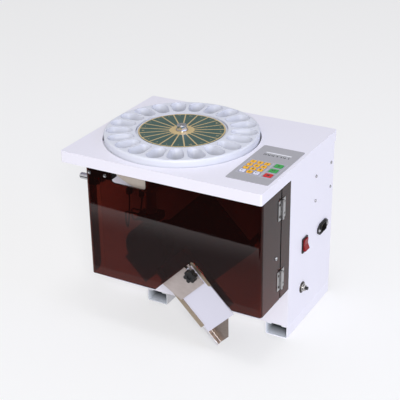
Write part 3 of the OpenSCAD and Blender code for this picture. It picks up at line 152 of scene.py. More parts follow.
def buildBrushGroup():
    tree, given, place = newGroup("brushedGrain", {
        "Colour": "Color", "Streak": "Color", "Turn": "Vector", "Stretch": "Vector", "Mottle": "Float",
        "Depth": "Float", "Smooth": "Float", "Dull": "Float",
    })
    mapping = tree.nodes.new("ShaderNodeMapping")
    feed(tree, place, mapping.inputs["Vector"])
    feed(tree, given["Turn"], mapping.inputs["Rotation"])
    feed(tree, given["Stretch"], mapping.inputs["Scale"])
    streak = noiseOf(tree, mapping.outputs["Vector"], 1.0, brushedGrain["streakDetail"])
    mottle = noiseOf(tree, place, given["Mottle"], brushedGrain["mottleDetail"])
    part = mathOf(tree, "MULTIPLY", mottle, brushedGrain["mottleShare"])
    both = mathOf(tree, "MULTIPLY_ADD", streak, brushedGrain["streakShare"], part)
    return closeGroup(tree, given, both, "Streak", streak, brushedGrain["bump"])


coatGroup = buildCoatGroup()
brushGroup = buildBrushGroup()


def makeFinish(name, tree, values, fixed, links=("Colour", "Roughness", "Normal")):
    material = bpy.data.materials.new(name)
    material.use_nodes = True
    shader = material.node_tree.nodes["Principled BSDF"]
    finish = material.node_tree.nodes.new("ShaderNodeGroup")
    finish.node_tree = tree
    for label, value in values.items():
        finish.inputs[label].default_value = value
    for label, value in fixed.items():
        shader.inputs[label].default_value = value
    for label in links:
        socket = "Base Color" if label == "Colour" else label
        material.node_tree.links.new(finish.outputs[label], shader.inputs[socket])
    return material


def coat(name, colour, shade, smooth, dull, grain, depth, cloud=7, metallic=0.0):
    values = {"Colour": tone(*colour), "Shade": tone(*shade), "Cloud": cloud, "Grain": grain,
              "Depth": depth * mm, "Smooth": smooth, "Dull": dull}
    return makeFinish(name, coatGroup, values, {"Metallic": metallic})


def metal(name, colour, streak, smooth, dull, depth=0.03, mottle=60, turn=(0, 0, 0), stretch=(20, 600, 600),
          metallic=1.0):
    values = {"Colour": tone(*colour), "Streak": tone(*streak), "Turn": turn, "Stretch": stretch,
              "Mottle": mottle, "Depth": depth * mm, "Smooth": smooth, "Dull": dull}
    return makeFinish(name, brushGroup, values, {"Metallic": metallic})


# colour, clouded colour, roughness from and to, grain per metre, its depth in mm, clouds per metre, metallic
coats = {
    "whitePaint": ((238, 236, 246), (234, 232, 243), 0.34, 0.42, 1100, 0.05),
    "dialGreen": ((62, 92, 85), (52, 82, 76), 0.3, 0.42, 1800, 0.02, 25),
    "dialGold": ((222, 198, 148), (206, 180, 128), 0.28, 0.4, 1600, 0.02, 30, 0.2),
    "coverWhite": ((212, 211, 224), (202, 201, 216), 0.45, 0.6, 900, 0.05),
    "blackPlastic": ((30, 29, 30), (22, 21, 22), 0.34, 0.46, 1400, 0.02, 30),
    "blackPaint": ((50, 42, 40), (42, 35, 34), 0.34, 0.46, 1500, 0.01, 20),
    "motorGrey": ((66, 66, 70), (54, 54, 58), 0.35, 0.5, 700, 0.08, 20),
    "leadRubber": ((34, 33, 34), (24, 23, 24), 0.5, 0.62, 2200, 0.08, 60),
    "panelGrey": ((173, 172, 177), (167, 166, 172), 0.42, 0.52, 2400, 0.03, 20),
    "displayFace": ((178, 178, 182), (170, 171, 175), 0.12, 0.2, 500, 0.01, 30),
    "boardGreen": ((44, 108, 70), (34, 92, 58), 0.35, 0.5, 1200, 0.05, 40),
    "rockerRed": ((146, 8, 14), (132, 6, 12), 0.3, 0.4, 900, 0.03, 60),
    "keyOrange": ((253, 193, 34), (248, 182, 26), 0.34, 0.44, 1800, 0.03, 80),
    "keyWhite": ((236, 236, 250), (228, 228, 244), 0.34, 0.44, 1800, 0.03, 80),
    "keyGreen": ((62, 172, 82), (52, 158, 72), 0.34, 0.44, 1800, 0.03, 80),
    "keyRed": ((213, 38, 42), (202, 30, 34), 0.34, 0.44, 1800, 0.03, 80),
    "darkPrint": ((74, 62, 60), (62, 52, 50), 0.45, 0.55, 2000, 0.01, 90),
    "palePrint": ((206, 206, 222), (198, 198, 214), 0.45, 0.55, 2000, 0.01, 90),
    # painted reflection on the display glass
    "displayGlare": ((238, 238, 244), (230, 230, 238), 0.3, 0.4, 2000, 0.01, 90),
    "segmentInk": ((52, 52, 58), (44, 44, 50), 0.2, 0.3, 900, 0.01, 60),
    "bluePrint": ((148, 150, 184), (140, 142, 176), 0.45, 0.55, 2000, 0.01, 90),
}
slopeTurn = (0, math.radians(45), 0)  # the chute's slope
unturned = (0, 0, 0)
# colour, streak colour, roughness from and to, streak depth in mm, mottle per metre, turn, stretch, metallic
metals = {
    "platedSteel": ((214, 213, 216), (190, 189, 193), 0.16, 0.28),
    "satinSteel": ((204, 203, 203), (182, 181, 181), 0.26, 0.4),
    "chrome": ((226, 226, 229), (212, 212, 216), 0.06, 0.12, 0.01),
    "stainless": ((216, 205, 202), (186, 174, 169), 0.3, 0.48, 0.05, 60, slopeTurn, (60, 160, 160), 0.75),
    # the tray's stainless is a darker, browner copy of the plate's: painted shade
    "shadedTrayStainless": ((196, 180, 159), (164, 148, 129), 0.3, 0.48, 0.05, 140, slopeTurn, (40, 900, 900)),
    "funnelSteel": ((236, 224, 212), (218, 205, 192), 0.3, 0.42, 0.04, 90, unturned, (500, 500, 40), 0.6),
    "castAluminium": ((186, 187, 190), (160, 161, 165), 0.4, 0.6, 0.1, 120, unturned, (400, 400, 400)),
    "darkSteel": ((92, 86, 80), (66, 62, 58), 0.3, 0.45, 0.02),
    "brassPins": ((214, 186, 120), (192, 162, 96), 0.2, 0.3),
    "bushNickel": ((206, 204, 198), (184, 182, 176), 0.14, 0.24),
}
finishes = {name: coat(name, *look) for name, look in coats.items()}
finishes.update({name: metal(name, *look) for name, look in metals.items()})


smoke = {"colour": (0.1, 0.0125, 0.0065, 1), "smooth": 0.01, "dull": 0.04, "index": 1.38, "clear": 0.955,
         "cloud": 11.0, "grain": 60.0, "depth": 0.01}


def buildAcrylic():
    values = {"Cloud": smoke["cloud"], "Grain": smoke["grain"], "Depth": smoke["depth"] * mm,
              "Smooth": smoke["smooth"], "Dull": smoke["dull"]}
    fixed = {"Base Color": smoke["colour"], "Transmission Weight": smoke["clear"], "IOR": smoke["index"]}
    return makeFinish("smokedAcrylic", coatGroup, values, fixed, ("Roughness",))


# what a second colour on a finish needs: its tree, its colour input and the piece's own coordinates
def openFinish(material):
    tree = material.node_tree
    colour = tree.nodes["Principled BSDF"].inputs["Base Color"]
    return tree, colour, tree.nodes.new("ShaderNodeTexCoord").outputs["Object"]


def layOver(tree, colour, factor, second):
    tree.links.new(blendOf(tree, factor, colour.links[0].from_socket, second), colour)


# the left foot's outside is greyer than the right one's: partly bare zinc, partly painted shade from the
# machine above it
channel = {"leftPaintAndShade": (194, 194, 197), "rightPaint": (238, 236, 246), "look": (0.36, 0.46, 1000, 0.05),
           "zinc": tone(220, 225, 233), "spangle": 1.25, "grain": 420.0, "detail": 1.0,
           "dark": tone(34, 38, 42), "paleTo": 4.0, "darkFrom": 36.0, "wall": 1.4}


# paint outside, bare zinc within the channel's walls, with painted shade darkening it away from both open
# ends
def buildChannel(name, node, paint):
    low, high = boxOf(node)
    centre, half = (low + high) / 2, (high - low) / 2
    material = coat(name, paint, paint, *channel["look"])
    tree, colour, place = openFinish(material)
    axes = axesOf(tree, place)
    reaches = []
    for axis in range(3):
        offset = mathOf(tree, "SUBTRACT", axes[axis], centre[axis])
        reaches.append(mathOf(tree, "ABSOLUTE", offset))
    wall = channel["wall"] * mm
    betweenSides = mathOf(tree, "LESS_THAN", reaches[0], half.x - wall)
    betweenFlats = mathOf(tree, "LESS_THAN", reaches[2], half.z - wall)
    inside = mathOf(tree, "MULTIPLY", betweenSides, betweenFlats)
    bright = [part * channel["spangle"] for part in channel["zinc"][:3]] + [1]
    bare = blendOf(tree, noiseOf(tree, place, channel["grain"], channel["detail"]), channel["zinc"], bright)
    # painted shade: the bare zinc turns to the dark tone farther inside the channel, away from both open ends
    deepShade = rangeOf(tree, reaches[1], half.y - channel["paleTo"] * mm, half.y - channel["darkFrom"] * mm)
    layOver(tree, colour, inside, blendOf(tree, deepShade, bare, channel["dark"]))
    return material


disc = {"face": (222, 224, 234), "cloud": (216, 219, 230), "look": (0.36, 0.46, 1500, 0.03),
        "deepShade": tone(140, 142, 152), "start": 1.0, "depth": 17.0, "rim": 5.0}


# moulded white disc, with painted shade greying it down in its pockets
def buildDisc():
    low, high = boxOf("pocket_ring")
    centre = (low + high) / 2
    material = coat("discPlastic", disc["face"], disc["cloud"], *disc["look"])
    tree, colour, place = openFinish(material)
    flat = tree.nodes.new("ShaderNodeMapping")
    flat.inputs["Location"].default_value = (-centre.x, -centre.y, 0)
    flat.inputs["Scale"].default_value = (1, 1, 0)
    tree.links.new(place, flat.inputs["Vector"])
    reach = tree.nodes.new("ShaderNodeVectorMath")
    reach.operation = "LENGTH"
    tree.links.new(flat.outputs["Vector"], reach.inputs[0])
    within = mathOf(tree, "LESS_THAN", reach.outputs["Value"], (high.x - low.x) / 2 - disc["rim"] * mm)
    # painted shade that deepens with the depth below the ring's top
    pocketShade = rangeOf(tree, axesOf(tree, place)["Z"], high.z - disc["start"] * mm, high.z - disc["depth"] * mm)
    layOver(tree, colour, mathOf(tree, "MULTIPLY", within, pocketShade), disc["deepShade"])
    return material


slide = {"troughShade": (164, 152, 144), "streak": (136, 125, 118), "flange": tone(232, 229, 232), "front": 1.6,
         "look": (0.28, 0.46, 0.05, 140, slopeTurn, (40, 900, 900))}


# the sliding end's flanges lie in its front plane and carry a painted highlight; the rest of the slide is a
# darker stainless of painted shade
def buildSlide():
    material = metal("slideStainless", slide["troughShade"], slide["streak"], *slide["look"])
    tree, colour, place = openFinish(material)
    frontPlane = boxOf("chute_extension")[0].y + slide["front"] * mm
    layOver(tree, colour, mathOf(tree, "LESS_THAN", axesOf(tree, place)["Y"], frontPlane), slide["flange"])
    return material


finishes["smokedAcrylic"] = buildAcrylic()
finishes["discPlastic"] = buildDisc()
finishes["slideStainless"] = buildSlide()
finishes["leftChannel"] = buildChannel("leftChannel", "foot_left", channel["leftPaintAndShade"])
finishes["rightChannel"] = buildChannel("rightChannel", "foot_right", channel["rightPaint"])

nodeFinish = {
    "whitePaint": ("deck", "body_shell", "front_wall", "rear_cover"),
    "leftChannel": ("foot_left",),
    "rightChannel": ("foot_right",),
    "discPlastic": ("pocket_ring",),
    "dialGreen": ("dial_plate",),
    "platedSteel": ("hub_washer", "foot_bolts", "side_screws"),
    "chrome": ("hub_nut", "latch_pin"),
    "satinSteel": ("turntable_shaft", "hinge_leaves_fixed", "hinge_leaves_door", "hinge_pins", "power_supply",
                   "latch_keeper"),
    "stainless": ("chute_front_plate",),
    "shadedTrayStainless": ("chute_tray",),
    "slideStainless": ("chute_extension",),
    "funnelSteel": ("drop_funnel",),
    "coverWhite": ("chute_cover",),
    "smokedAcrylic": ("door", "acrylic_strip"),
    "blackPlastic": ("latch_bar", "clamp_knob", "power_inlet", "switch_bezel", "breaker_button",
                     "count_sensor"),
    "blackPaint": ("feed_base", "feed_drum"),
    "motorGrey": ("turntable_motor", "feed_motor"),
    "leadRubber": ("sensor_leads",),
    "castAluminium": ("bearing_bracket",),
    "panelGrey": ("keypad_panel",),
    "displayFace": ("display_module",),
    "boardGreen": ("keypad_board",),
    "brassPins": ("inlet_pins",),
    "bushNickel": ("breaker_bush",),
    "rockerRed": ("power_rocker",),
    "keyOrange": tuple("key_%d" % digit for digit in range(10)),
    "keyWhite": ("key_clear", "key_enter"),
    "keyGreen": ("key_start", "key_pause"),
    "keyRed": ("key_stop",),
}
dressed = set()
for finishName, names in nodeFinish.items():
    for name in names:
        for slot in nodes[name].material_slots:
            slot.material = finishes[finishName]
        dressed.add(name)
print("finishes on nodes:", len(dressed), "left over:", sorted(set(nodes) - dressed))


# softened sheet edges on the solids that show them, widths in mm
softEdges = {
    "deck": 0.9, "front_wall": 0.3, "foot_left": 0.4, "foot_right": 0.4,
    "keypad_panel": 0.2, "chute_tray": 0.2, "chute_extension": 0.2, "chute_front_plate": 0.25,
    "chute_cover": 0.2, "latch_bar": 0.5, "switch_bezel": 0.4, "power_inlet": 0.4, "hub_nut": 0.5,
    "hinge_leaves_fixed": 0.2, "hinge_leaves_door": 0.2, "clamp_knob": 0.5,
}
softening = {"weld": 0.002, "segments": 2, "angle": 50, "weight": 100}
for name, width in softEdges.items():
    weld = nodes[name].modifiers.new("weld", "WELD")
    weld.merge_threshold = softening["weld"] * mm
    bevel = nodes[name].modifiers.new("edge", "BEVEL")
    bevel.width = width * mm
    bevel.segments = softening["segments"]
    bevel.limit_method = "ANGLE"
    bevel.angle_limit = math.radians(softening["angle"])
    bevel.use_clamp_overlap = True
    flat = nodes[name].modifiers.new("flat", "WEIGHTED_NORMAL")
    flat.weight = softening["weight"]


def addPiece(name, data, finish, body):
    piece = bpy.data.objects.new(name, data)
    scene.collection.objects.link(piece)
    data.materials.append(finishes[finish])
    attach(piece, body)
    return piece


meshing = {"merge": 0.0005, "sharpFrom": 35}


def pieceFrom(name, bm, finish, body):
    bmesh.ops.remove_doubles(bm, verts=bm.verts, dist=meshing["merge"] * mm)
    bmesh.ops.recalc_face_normals(bm, faces=bm.faces)
    mesh = bpy.data.meshes.new(name)
    bm.to_mesh(mesh)
    bm.free()
    mesh.set_sharp_from_angle(angle=math.radians(meshing["sharpFrom"]))
    return addPiece(name, mesh, finish, body)


# an outline of (radius, height) points turned about z
def turnOutline(bm, outline, steps, closed=True):
    verts = [bm.verts.new((radius, 0, height)) for radius, height in outline]
    edges = [bm.edges.new(pair) for pair in zip(verts, verts[1:])]
    if closed:
        edges.append(bm.edges.new((verts[-1], verts[0])))
    bmesh.ops.spin(bm, geom=verts + edges, cent=(0, 0, 0), axis=(0, 0, 1), angle=math.tau, steps=steps,
                   use_merge=True)


def addBlock(bm, size, spot, turn=None):
    matrix = Matrix.Translation(spot) @ (turn or Matrix.Identity(4)) @ Matrix.Diagonal((*size, 1))
    return bmesh.ops.create_cube(bm, size=1, matrix=matrix)["verts"]


def roundEdges(bm, edges, width, segments):
    bmesh.ops.bevel(bm, geom=edges, offset=width, offset_type="OFFSET", segments=segments, profile=0.5,
                    affect="EDGES", material=-1)


# shares of the head's radius and height, and the steps round it
screwHead = {"rim": 0.25, "round": 0.3, "recess": 0.5, "floor": 0.45, "steps": 32}


# a socket-head screw whose head points along +z from the origin
def screwMesh(bm, radius, height):
    rim = min(radius, height) * screwHead["rim"]
    edge = rim * screwHead["round"]
    socket, floor = radius * screwHead["recess"], height * screwHead["floor"]
    outline = [(0, floor), (socket, floor), (socket, height), (radius - rim, height),
               (radius - edge, height - edge), (radius, height - rim), (radius, 0), (0, 0)]
    turnOutline(bm, outline, screwHead["steps"], closed=False)


def screwRow(name, spots, facing, radius, height, finish, body):
    whole = bmesh.new()
    turn = Vector((0, 0, 1)).rotation_difference(Vector(facing)).to_matrix().to_4x4()
    for spot in spots:
        bm = bmesh.new()
        screwMesh(bm, radius * mm, height * mm)
        bmesh.ops.transform(bm, matrix=Matrix.Translation(spot) @ turn, verts=bm.verts)
        part = bpy.data.meshes.new(name)
        bm.to_mesh(part)
        bm.free()
        whole.from_mesh(part)
        bpy.data.meshes.remove(part)
    pieceFrom(name, whole, finish, body)


numberSteps = 3  # points along each bend of a figure


# plain numbers, made a mesh before they are put in place
def numberMesh(bm, text, size, thick, matrix, bold=0.0):
    curve = bpy.data.curves.new("number", "FONT")
    curve.body = text
    curve.size = size
    curve.align_x = "CENTER"
    curve.align_y = "CENTER"
    curve.extrude = thick / 2
    curve.offset = bold * size
    curve.resolution_u = numberSteps
    holder = bpy.data.objects.new("number", curve)
    scene.collection.objects.link(holder)
    bpy.context.view_layer.update()
    mesh = bpy.data.meshes.new_from_object(holder.evaluated_get(bpy.context.evaluated_depsgraph_get()))
    bpy.data.objects.remove(holder)
    bpy.data.curves.remove(curve)
    mesh.transform(matrix)
    bm.from_mesh(mesh)
    bpy.data.meshes.remove(mesh)


# a run is the lead's side of the sensor's middle, then how far left of it the lead drops and its plug sits
leads = {"radius": 1.5, "roundness": 4, "bend": 6.0, "spread": 8.0, "wallGap": 6.0, "straightSteps": 4,
         "bendSteps": 6, "loopSteps": 24, "runs": {"Front": (-1, 54.0, 96.0), "Back": (1, 50.0, 66.0)}}


# each lead leaves the sensor's left side, bends down and hangs in a half ring to its plug on the wall
def leadPoints(start, dropX, end):
    bend = leads["bend"] * mm
    hang = Vector((dropX, start.y, start.z - bend))
    straight = Vector((dropX + bend, start.y, start.z))
    steps = leads["straightSteps"]
    points = [start.lerp(straight, step / steps) for step in range(steps + 1)]
    for step in range(1, leads["bendSteps"] + 1):
        angle = math.pi / 2 * step / leads["bendSteps"]
        points.append(hang + Vector((bend - bend * math.sin(angle), 0, bend * math.cos(angle))))
    middle = (hang + end) / 2
    across = (hang - end) / 2
    for step in range(1, leads["loopSteps"] + 1):
        angle = math.pi * step / leads["loopSteps"]
        points.append(middle + across * math.cos(angle) - Vector((0, 0, across.length * math.sin(angle))))
    return points


plugBody = {"size": (9.0, 9.0, 14.0), "edge": 1.2, "segments": 3, "ribs": 3, "ribFrom": 0.3, "ribStep": 0.2,
            "ribProud": 0.8, "ribThick": 1.2, "ribEdge": 0.3}


def buildPlug(name, foot):
    plug = bmesh.new()
    size = Vector(plugBody["size"]) * mm
    addBlock(plug, size, foot + Vector((0, 0, size.z / 2)))
    roundEdges(plug, plug.edges[:], plugBody["edge"] * mm, plugBody["segments"])
    proud = plugBody["ribProud"] * mm
    for rib in range(plugBody["ribs"]):
        height = size.z * (plugBody["ribFrom"] + plugBody["ribStep"] * rib)
        ribSize = (size.x + proud, size.y + proud, plugBody["ribThick"] * mm)
        ridge = addBlock(plug, ribSize, foot + Vector((0, 0, height)))
        edges = dict.fromkeys(edge for vert in ridge for edge in vert.link_edges)
        roundEdges(plug, list(edges), plugBody["ribEdge"] * mm, 1)
    return pieceFrom(name, plug, "blackPlastic", "cabinet")


def buildLeads():
    low, high = boxOf("count_sensor")
    centre = (low + high) / 2
    plugY = boxOf("front_wall")[0].y - leads["wallGap"] * mm
    cords = []
    for label, (side, dropSide, plugSide) in leads["runs"].items():
        start = Vector((low.x, centre.y + side * leads["spread"] * mm, centre.z))
        end = Vector((centre.x - plugSide * mm, plugY, centre.z - leads["bend"] * mm))
        points = leadPoints(start, centre.x - dropSide * mm, end)
        data = bpy.data.curves.new("sensorLead" + label, "CURVE")
        data.dimensions = "3D"
        data.bevel_depth = leads["radius"] * mm
        data.bevel_resolution = leads["roundness"]
        data.use_fill_caps = True
        spline = data.splines.new("POLY")
        spline.points.add(len(points) - 1)
        for point, place in zip(spline.points, points):
            point.co = (*place, 1)
        cord = addPiece("sensorLead" + label, data, "leadRubber", "cabinet")
        plugPiece = buildPlug("leadPlug" + label, end)
        cords.append(cord)
    for cord in cords:
        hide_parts("sensor_leads")


buildLeads()
print("leads done")


dial = {"parts": 21, "turn": -5.4, "line": 2.5, "overlap": 0.2, "rim": 2.8, "rimSteps": 180, "hub": 25.0,
        "hubHole": 12.3, "hubSteps": 120, "proud": 0.12, "firstNumber": 13, "bigEvery": 3, "bigNumber": 7.5,
        "smallNumber": 4.2, "numberRadius": 77.0}


def buildDial():
    low, high = boxOf("dial_plate")
    centre = (low + high) / 2
    radius = (high.x - low.x) / 2
    proud = dial["proud"] * mm
    toDial = Matrix.Translation((centre.x, centre.y, high.z))
    part, start = math.tau / dial["parts"], math.radians(dial["turn"])

    rings = bmesh.new()
    inner = radius - dial["rim"] * mm
    rim = [(inner, 0), (radius, 0), (radius - proud, proud), (inner + proud, proud)]
    turnOutline(rings, rim, dial["rimSteps"])
    hub, hole = dial["hub"] * mm, dial["hubHole"] * mm
    turnOutline(rings, [(hole, 0), (hub, 0), (hub - proud, proud), (hole, proud)], dial["hubSteps"])
    bmesh.ops.transform(rings, matrix=toDial, verts=rings.verts)
    pieceFrom("dialGoldRings", rings, "dialGold", "turntable")

    lines = bmesh.new()
    length = inner - hub
    for index in range(dial["parts"]):
        turn = Matrix.Rotation(part * index + start, 4, "Z")
        spot = turn @ Vector((hub + length / 2, 0, proud / 2))
        addBlock(lines, (length + dial["overlap"] * mm, dial["line"] * mm, proud), spot, turn)
    bmesh.ops.transform(lines, matrix=toDial, verts=lines.verts)
    pieceFrom("dialGoldLines", lines, "dialGold", "turntable")

    # each field's number reads from the rim, every third one is big
    figures = bmesh.new()
    for index in range(dial["parts"]):
        angle = part * (index + 0.5) + start
        spot = Matrix.Rotation(angle, 4, "Z") @ Vector((dial["numberRadius"] * mm, 0, proud / 2))
        face = Matrix.Rotation(angle + math.pi / 2, 4, "Z")
        number = (dial["firstNumber"] + index - 1) % dial["parts"] + 1
        size = dial["bigNumber"] if number % dial["bigEvery"] == 1 else dial["smallNumber"]
        numberMesh(figures, str(number), size * mm, proud, toDial @ Matrix.Translation(spot) @ face)
    pieceFrom("dialNumbers", figures, "dialGold", "turntable")


buildDial()
print("dial inlay done")


keypad = {"digitSize": 8.0, "bold": 0.025, "proud": 0.08, "outline": 0.8, "edgeGap": 0.1, "blockGap": 4.0,
          "frameLine": 0.6, "startRadius": 3.4, "pauseBar": (1.6, 6.0), "pauseSide": 1.8, "stopSide": 5.4}
arrow = {"shaft": 4.6, "line": 0.9, "barb": 2.2, "slant": 40, "barbBack": 1.6, "barbSide": 0.7, "tail": 2.4,
         "tailBack": 2.3, "tailSide": 0.75}


# flat frame between two rectangles, thick enough to stand on what carries it
def addFrame(bm, low, high, width, base, thick):
    centre = Vector(((low[0] + high[0]) / 2, (low[1] + high[1]) / 2, base))
    half = Vector(((high[0] - low[0]) / 2, (high[1] - low[1]) / 2))
    for side in (-1, 1):
        endSpot = centre + Vector((0, side * (half.y - width / 2), thick / 2))
        addBlock(bm, (2 * half.x, width, thick), endSpot)
        sideSpot = centre + Vector((side * (half.x - width / 2), 0, thick / 2))
        addBlock(bm, (width, 2 * half.y - 2 * width, thick), sideSpot)


# middle of a sign that lies on a key
def signSpot(name):
    low, high = boxOf(name)
    return Vector(((low.x + high.x) / 2, (low.y + high.y) / 2, high.z + keypad["proud"] * mm / 2))


def addArrow(bm, centre, thick, withTail):
    line = arrow["line"] * mm
    addBlock(bm, (arrow["shaft"] * mm, line, thick), centre)
    for side in (-1, 1):
        slant = Matrix.Rotation(side * math.radians(arrow["slant"]), 4, "Z")
        offset = Vector((-arrow["barbBack"], side * arrow["barbSide"], 0)) * mm
        addBlock(bm, (arrow["barb"] * mm, line, thick), centre + offset, slant)
    if withTail:
        offset = Vector((arrow["tailBack"], arrow["tailSide"], 0)) * mm
        addBlock(bm, (line, arrow["tail"] * mm, thick), centre + offset)


def buildKeypad():
    proud = keypad["proud"] * mm
    panelTop = boxOf("keypad_panel")[1].z
    numberKeys = ["key_%d" % digit for digit in range(10)] + ["key_clear", "key_enter"]
    workKeys = ["key_start", "key_pause", "key_stop"]
    prints = bmesh.new()
    line = keypad["outline"] * mm
    grow = keypad["edgeGap"] * mm + line
    for name in numberKeys + workKeys:
        low, high = boxOf(name)
        addFrame(prints, (low.x - grow, low.y - grow), (high.x + grow, high.y + grow), line, panelTop, proud)
    pieceFrom("keyOutlines", prints, "bluePrint", "cabinet")
    prints = bmesh.new()
    gap = keypad["blockGap"] * mm
    for group in (numberKeys, workKeys):
        boxes = [boxOf(name) for name in group]
        left = min(low.x for low, high in boxes) - gap
        right = max(high.x for low, high in boxes) + gap
        front = min(low.y for low, high in boxes) - gap
        back = max(high.y for low, high in boxes) + gap
        addFrame(prints, (left, front), (right, back), keypad["frameLine"] * mm, panelTop, proud / 2)
    pieceFrom("panelOutlines", prints, "palePrint", "cabinet")

    signs = {}
    for digit in range(10):
        sign = bmesh.new()
        spot = Matrix.Translation(signSpot("key_%d" % digit))
        numberMesh(sign, str(digit), keypad["digitSize"] * mm, proud, spot, keypad["bold"])
        signs["key_%d" % digit] = ("digit_%d" % digit, sign)
    # left arrow on the clear key, the same with a tail on the enter key
    for name in ("key_clear", "key_enter"):
        sign = bmesh.new()
        addArrow(sign, signSpot(name), proud, name == "key_enter")
        signs[name] = (name + "_mark", sign)
    # run, pause and stop signs
    sign = bmesh.new()
    toStart = Matrix.Translation(signSpot("key_start")) @ Matrix.Rotation(-math.pi / 2, 4, "Z")
    radius = keypad["startRadius"] * mm
    bmesh.ops.create_cone(sign, cap_ends=True, segments=3, radius1=radius, radius2=radius, depth=proud,
                          matrix=toStart)
    signs["key_start"] = ("key_start_mark", sign)
    sign = bmesh.new()
    wide, tall = (length * mm for length in keypad["pauseBar"])
    for side in (-1, 1):
        offset = Vector((side * keypad["pauseSide"] * mm, 0, 0))
        addBlock(sign, (wide, tall, proud), signSpot("key_pause") + offset)
    signs["key_pause"] = ("key_pause_mark", sign)
    sign = bmesh.new()
    square = keypad["stopSide"] * mm
    addBlock(sign, (square, square, proud), signSpot("key_stop"))
    signs["key_stop"] = ("key_stop_mark", sign)
    for key, (pieceName, sign) in signs.items():
        pieceFrom(pieceName, sign, "darkPrint", key)


buildKeypad()

display = {"sideMargin": 1.6, "endMargin": 0.8, "reading": "0447747", "tall": 6.2, "wide": 0.5, "rise": 4.2,
           "stroke": 1.5, "gap": 0.12, "bar": 5.8, "barInset": 0.5, "barBack": 0.2, "barEdge": 0.02,
           "proud": 0.08}
litStrokes = {
    "0": ("top", "bottom", "leftUp", "leftDown", "rightUp", "rightDown"),
    "4": ("middle", "leftUp", "rightUp", "rightDown"),
    "7": ("top", "rightUp", "rightDown"),
}


def buildDisplay():
    low, high = boxOf("display_module")
    proud = display["proud"] * mm
    side, end = display["sideMargin"] * mm, display["endMargin"] * mm
    inkZ = high.z + proud / 2
    left, right = low.x + side, high.x - side
    front, back = low.y + end, high.y - end
    pitch = (right - left) / len(display["reading"])
    tall, wide = display["tall"] * mm, pitch * display["wide"]
    stroke, gap = display["stroke"] * mm, display["gap"] * mm
    reach = (tall + stroke) / 2
    levels = {"top": tall / 2, "middle": 0, "bottom": -tall / 2}
    uprights = {"leftUp": (-1, 1), "leftDown": (-1, -1), "rightUp": (1, 1), "rightDown": (1, -1)}
    ink = bmesh.new()
    for index, figure in enumerate(display["reading"]):
        centre = Vector((left + pitch * (index + 0.5), front + display["rise"] * mm, inkZ))
        for label in litStrokes[figure]:
            if label in levels:
                size = (wide - stroke - gap, stroke, proud)
                offset = (0, levels[label], 0)
            else:
                across, along = uprights[label]
                size = (stroke, reach - gap, proud)
                offset = (across * wide / 2, along * reach / 2, 0)
            addBlock(ink, size, centre + Vector(offset))
    pieceFrom("displayFigures", ink, "segmentInk", "cabinet")
    # a white bar of painted reflection across the back of the display glass
    bar = bmesh.new()
    barY = back - (display["bar"] / 2 + display["barBack"]) * mm
    barSize = (right - left - 2 * display["barInset"] * mm, display["bar"] * mm, proud)
    addBlock(bar, barSize, Vector(((left + right) / 2, barY, inkZ)))
    roundEdges(bar, bar.edges[:], display["barEdge"] * mm, 1)
    pieceFrom("displayGlareBar", bar, "displayGlare", "cabinet")


buildDisplay()
print("keypad done")


# each screw is its head's radius and height
fasteners = {"hingeScrew": (2.4, 0.7), "hingeTall": 40.0, "hingeThick": 1.2, "hingeInset": 5.0,
             "hingeShares": (0.2, 0.8), "barScrew": (3.6, 0.8), "barDrop": 8.5, "barOffsets": (3.0, 38.3),
             "washer": 12.0, "washerHole": 8.6, "washerThick": 1.2, "washerEdge": 0.4, "washerSteps": 48,
             "catch": (3.4, 2.0), "catchBack": 59.7, "catchDrop": 133.8}


def buildFasteners():
    fixedLow, fixedHigh = boxOf("hinge_leaves_fixed")
    leafLow = boxOf("hinge_leaves_door")[0]
    tall, leaf, inset = (fasteners[key] * mm for key in ("hingeTall", "hingeThick", "hingeInset"))
    fixedSpots = []
    leafSpots = []
    for base in (fixedLow.z, fixedHigh.z - tall):
        for share in fasteners["hingeShares"]:
            height = base + tall * share
            fixedSpots.append(Vector((fixedLow.x + leaf, fixedHigh.y - inset, height)))
            leafSpots.append(Vector((leafLow.x + leaf, leafLow.y + inset, height)))
    rightward, forward = (1, 0, 0), (0, -1, 0)
    screwRow("hingeScrewsFixed", fixedSpots, rightward, *fasteners["hingeScrew"], "darkSteel", "cabinet")
    screwRow("hingeScrewsDoor", leafSpots, rightward, *fasteners["hingeScrew"], "darkSteel", "door")
    doorLow, doorHigh = boxOf("door")
    barLow, barHigh = boxOf("latch_bar")
    barMiddle = barHigh.z - fasteners["barDrop"] * mm
    spots = [Vector((barLow.x + offset * mm, doorLow.y, barMiddle)) for offset in fasteners["barOffsets"]]
    screwRow("latchBarScrews", spots, forward, *fasteners["barScrew"], "platedSteel", "door")

    # the breaker's nut holds a dark washer against the side
    bushLow, bushHigh = boxOf("breaker_bush")
    sideFace = boxOf("body_shell")[1].x
    ring = bmesh.new()
    thick, outer, inner = (fasteners[key] * mm for key in ("washerThick", "washer", "washerHole"))
    edge = thick * fasteners["washerEdge"]
    outline = [(inner, 0), (outer, 0), (outer, thick - edge), (outer - edge, thick), (inner, thick)]
    turnOutline(ring, outline, fasteners["washerSteps"])
    toSide = Matrix.Translation((sideFace, (bushLow.y + bushHigh.y) / 2, (bushLow.z + bushHigh.z) / 2))
    bmesh.ops.transform(ring, matrix=toSide @ Matrix.Rotation(math.pi / 2, 4, "Y"), verts=ring.verts)
    pieceFrom("breakerWasher", ring, "darkSteel", "cabinet")

    # small bright catch on the door's right return
    catch = Vector((doorHigh.x, doorLow.y + fasteners["catchBack"] * mm,
                    doorHigh.z - fasteners["catchDrop"] * mm))
    screwRow("returnCatch", [catch], rightward, *fasteners["catch"], "chrome", "door")


buildFasteners()
print("fasteners done")


floorPaper = {"colour": tone(178, 178, 178), "rough": 0.9, "side": 8.0, "back": 8.0, "frontEdge": -0.599,
              "frontSlant": 0.0409, "lift": 0.505, "glowFrom": -0.505, "edgeGlow": 0.9, "behindFrom": -0.36,
              "behindGlow": 0.33}


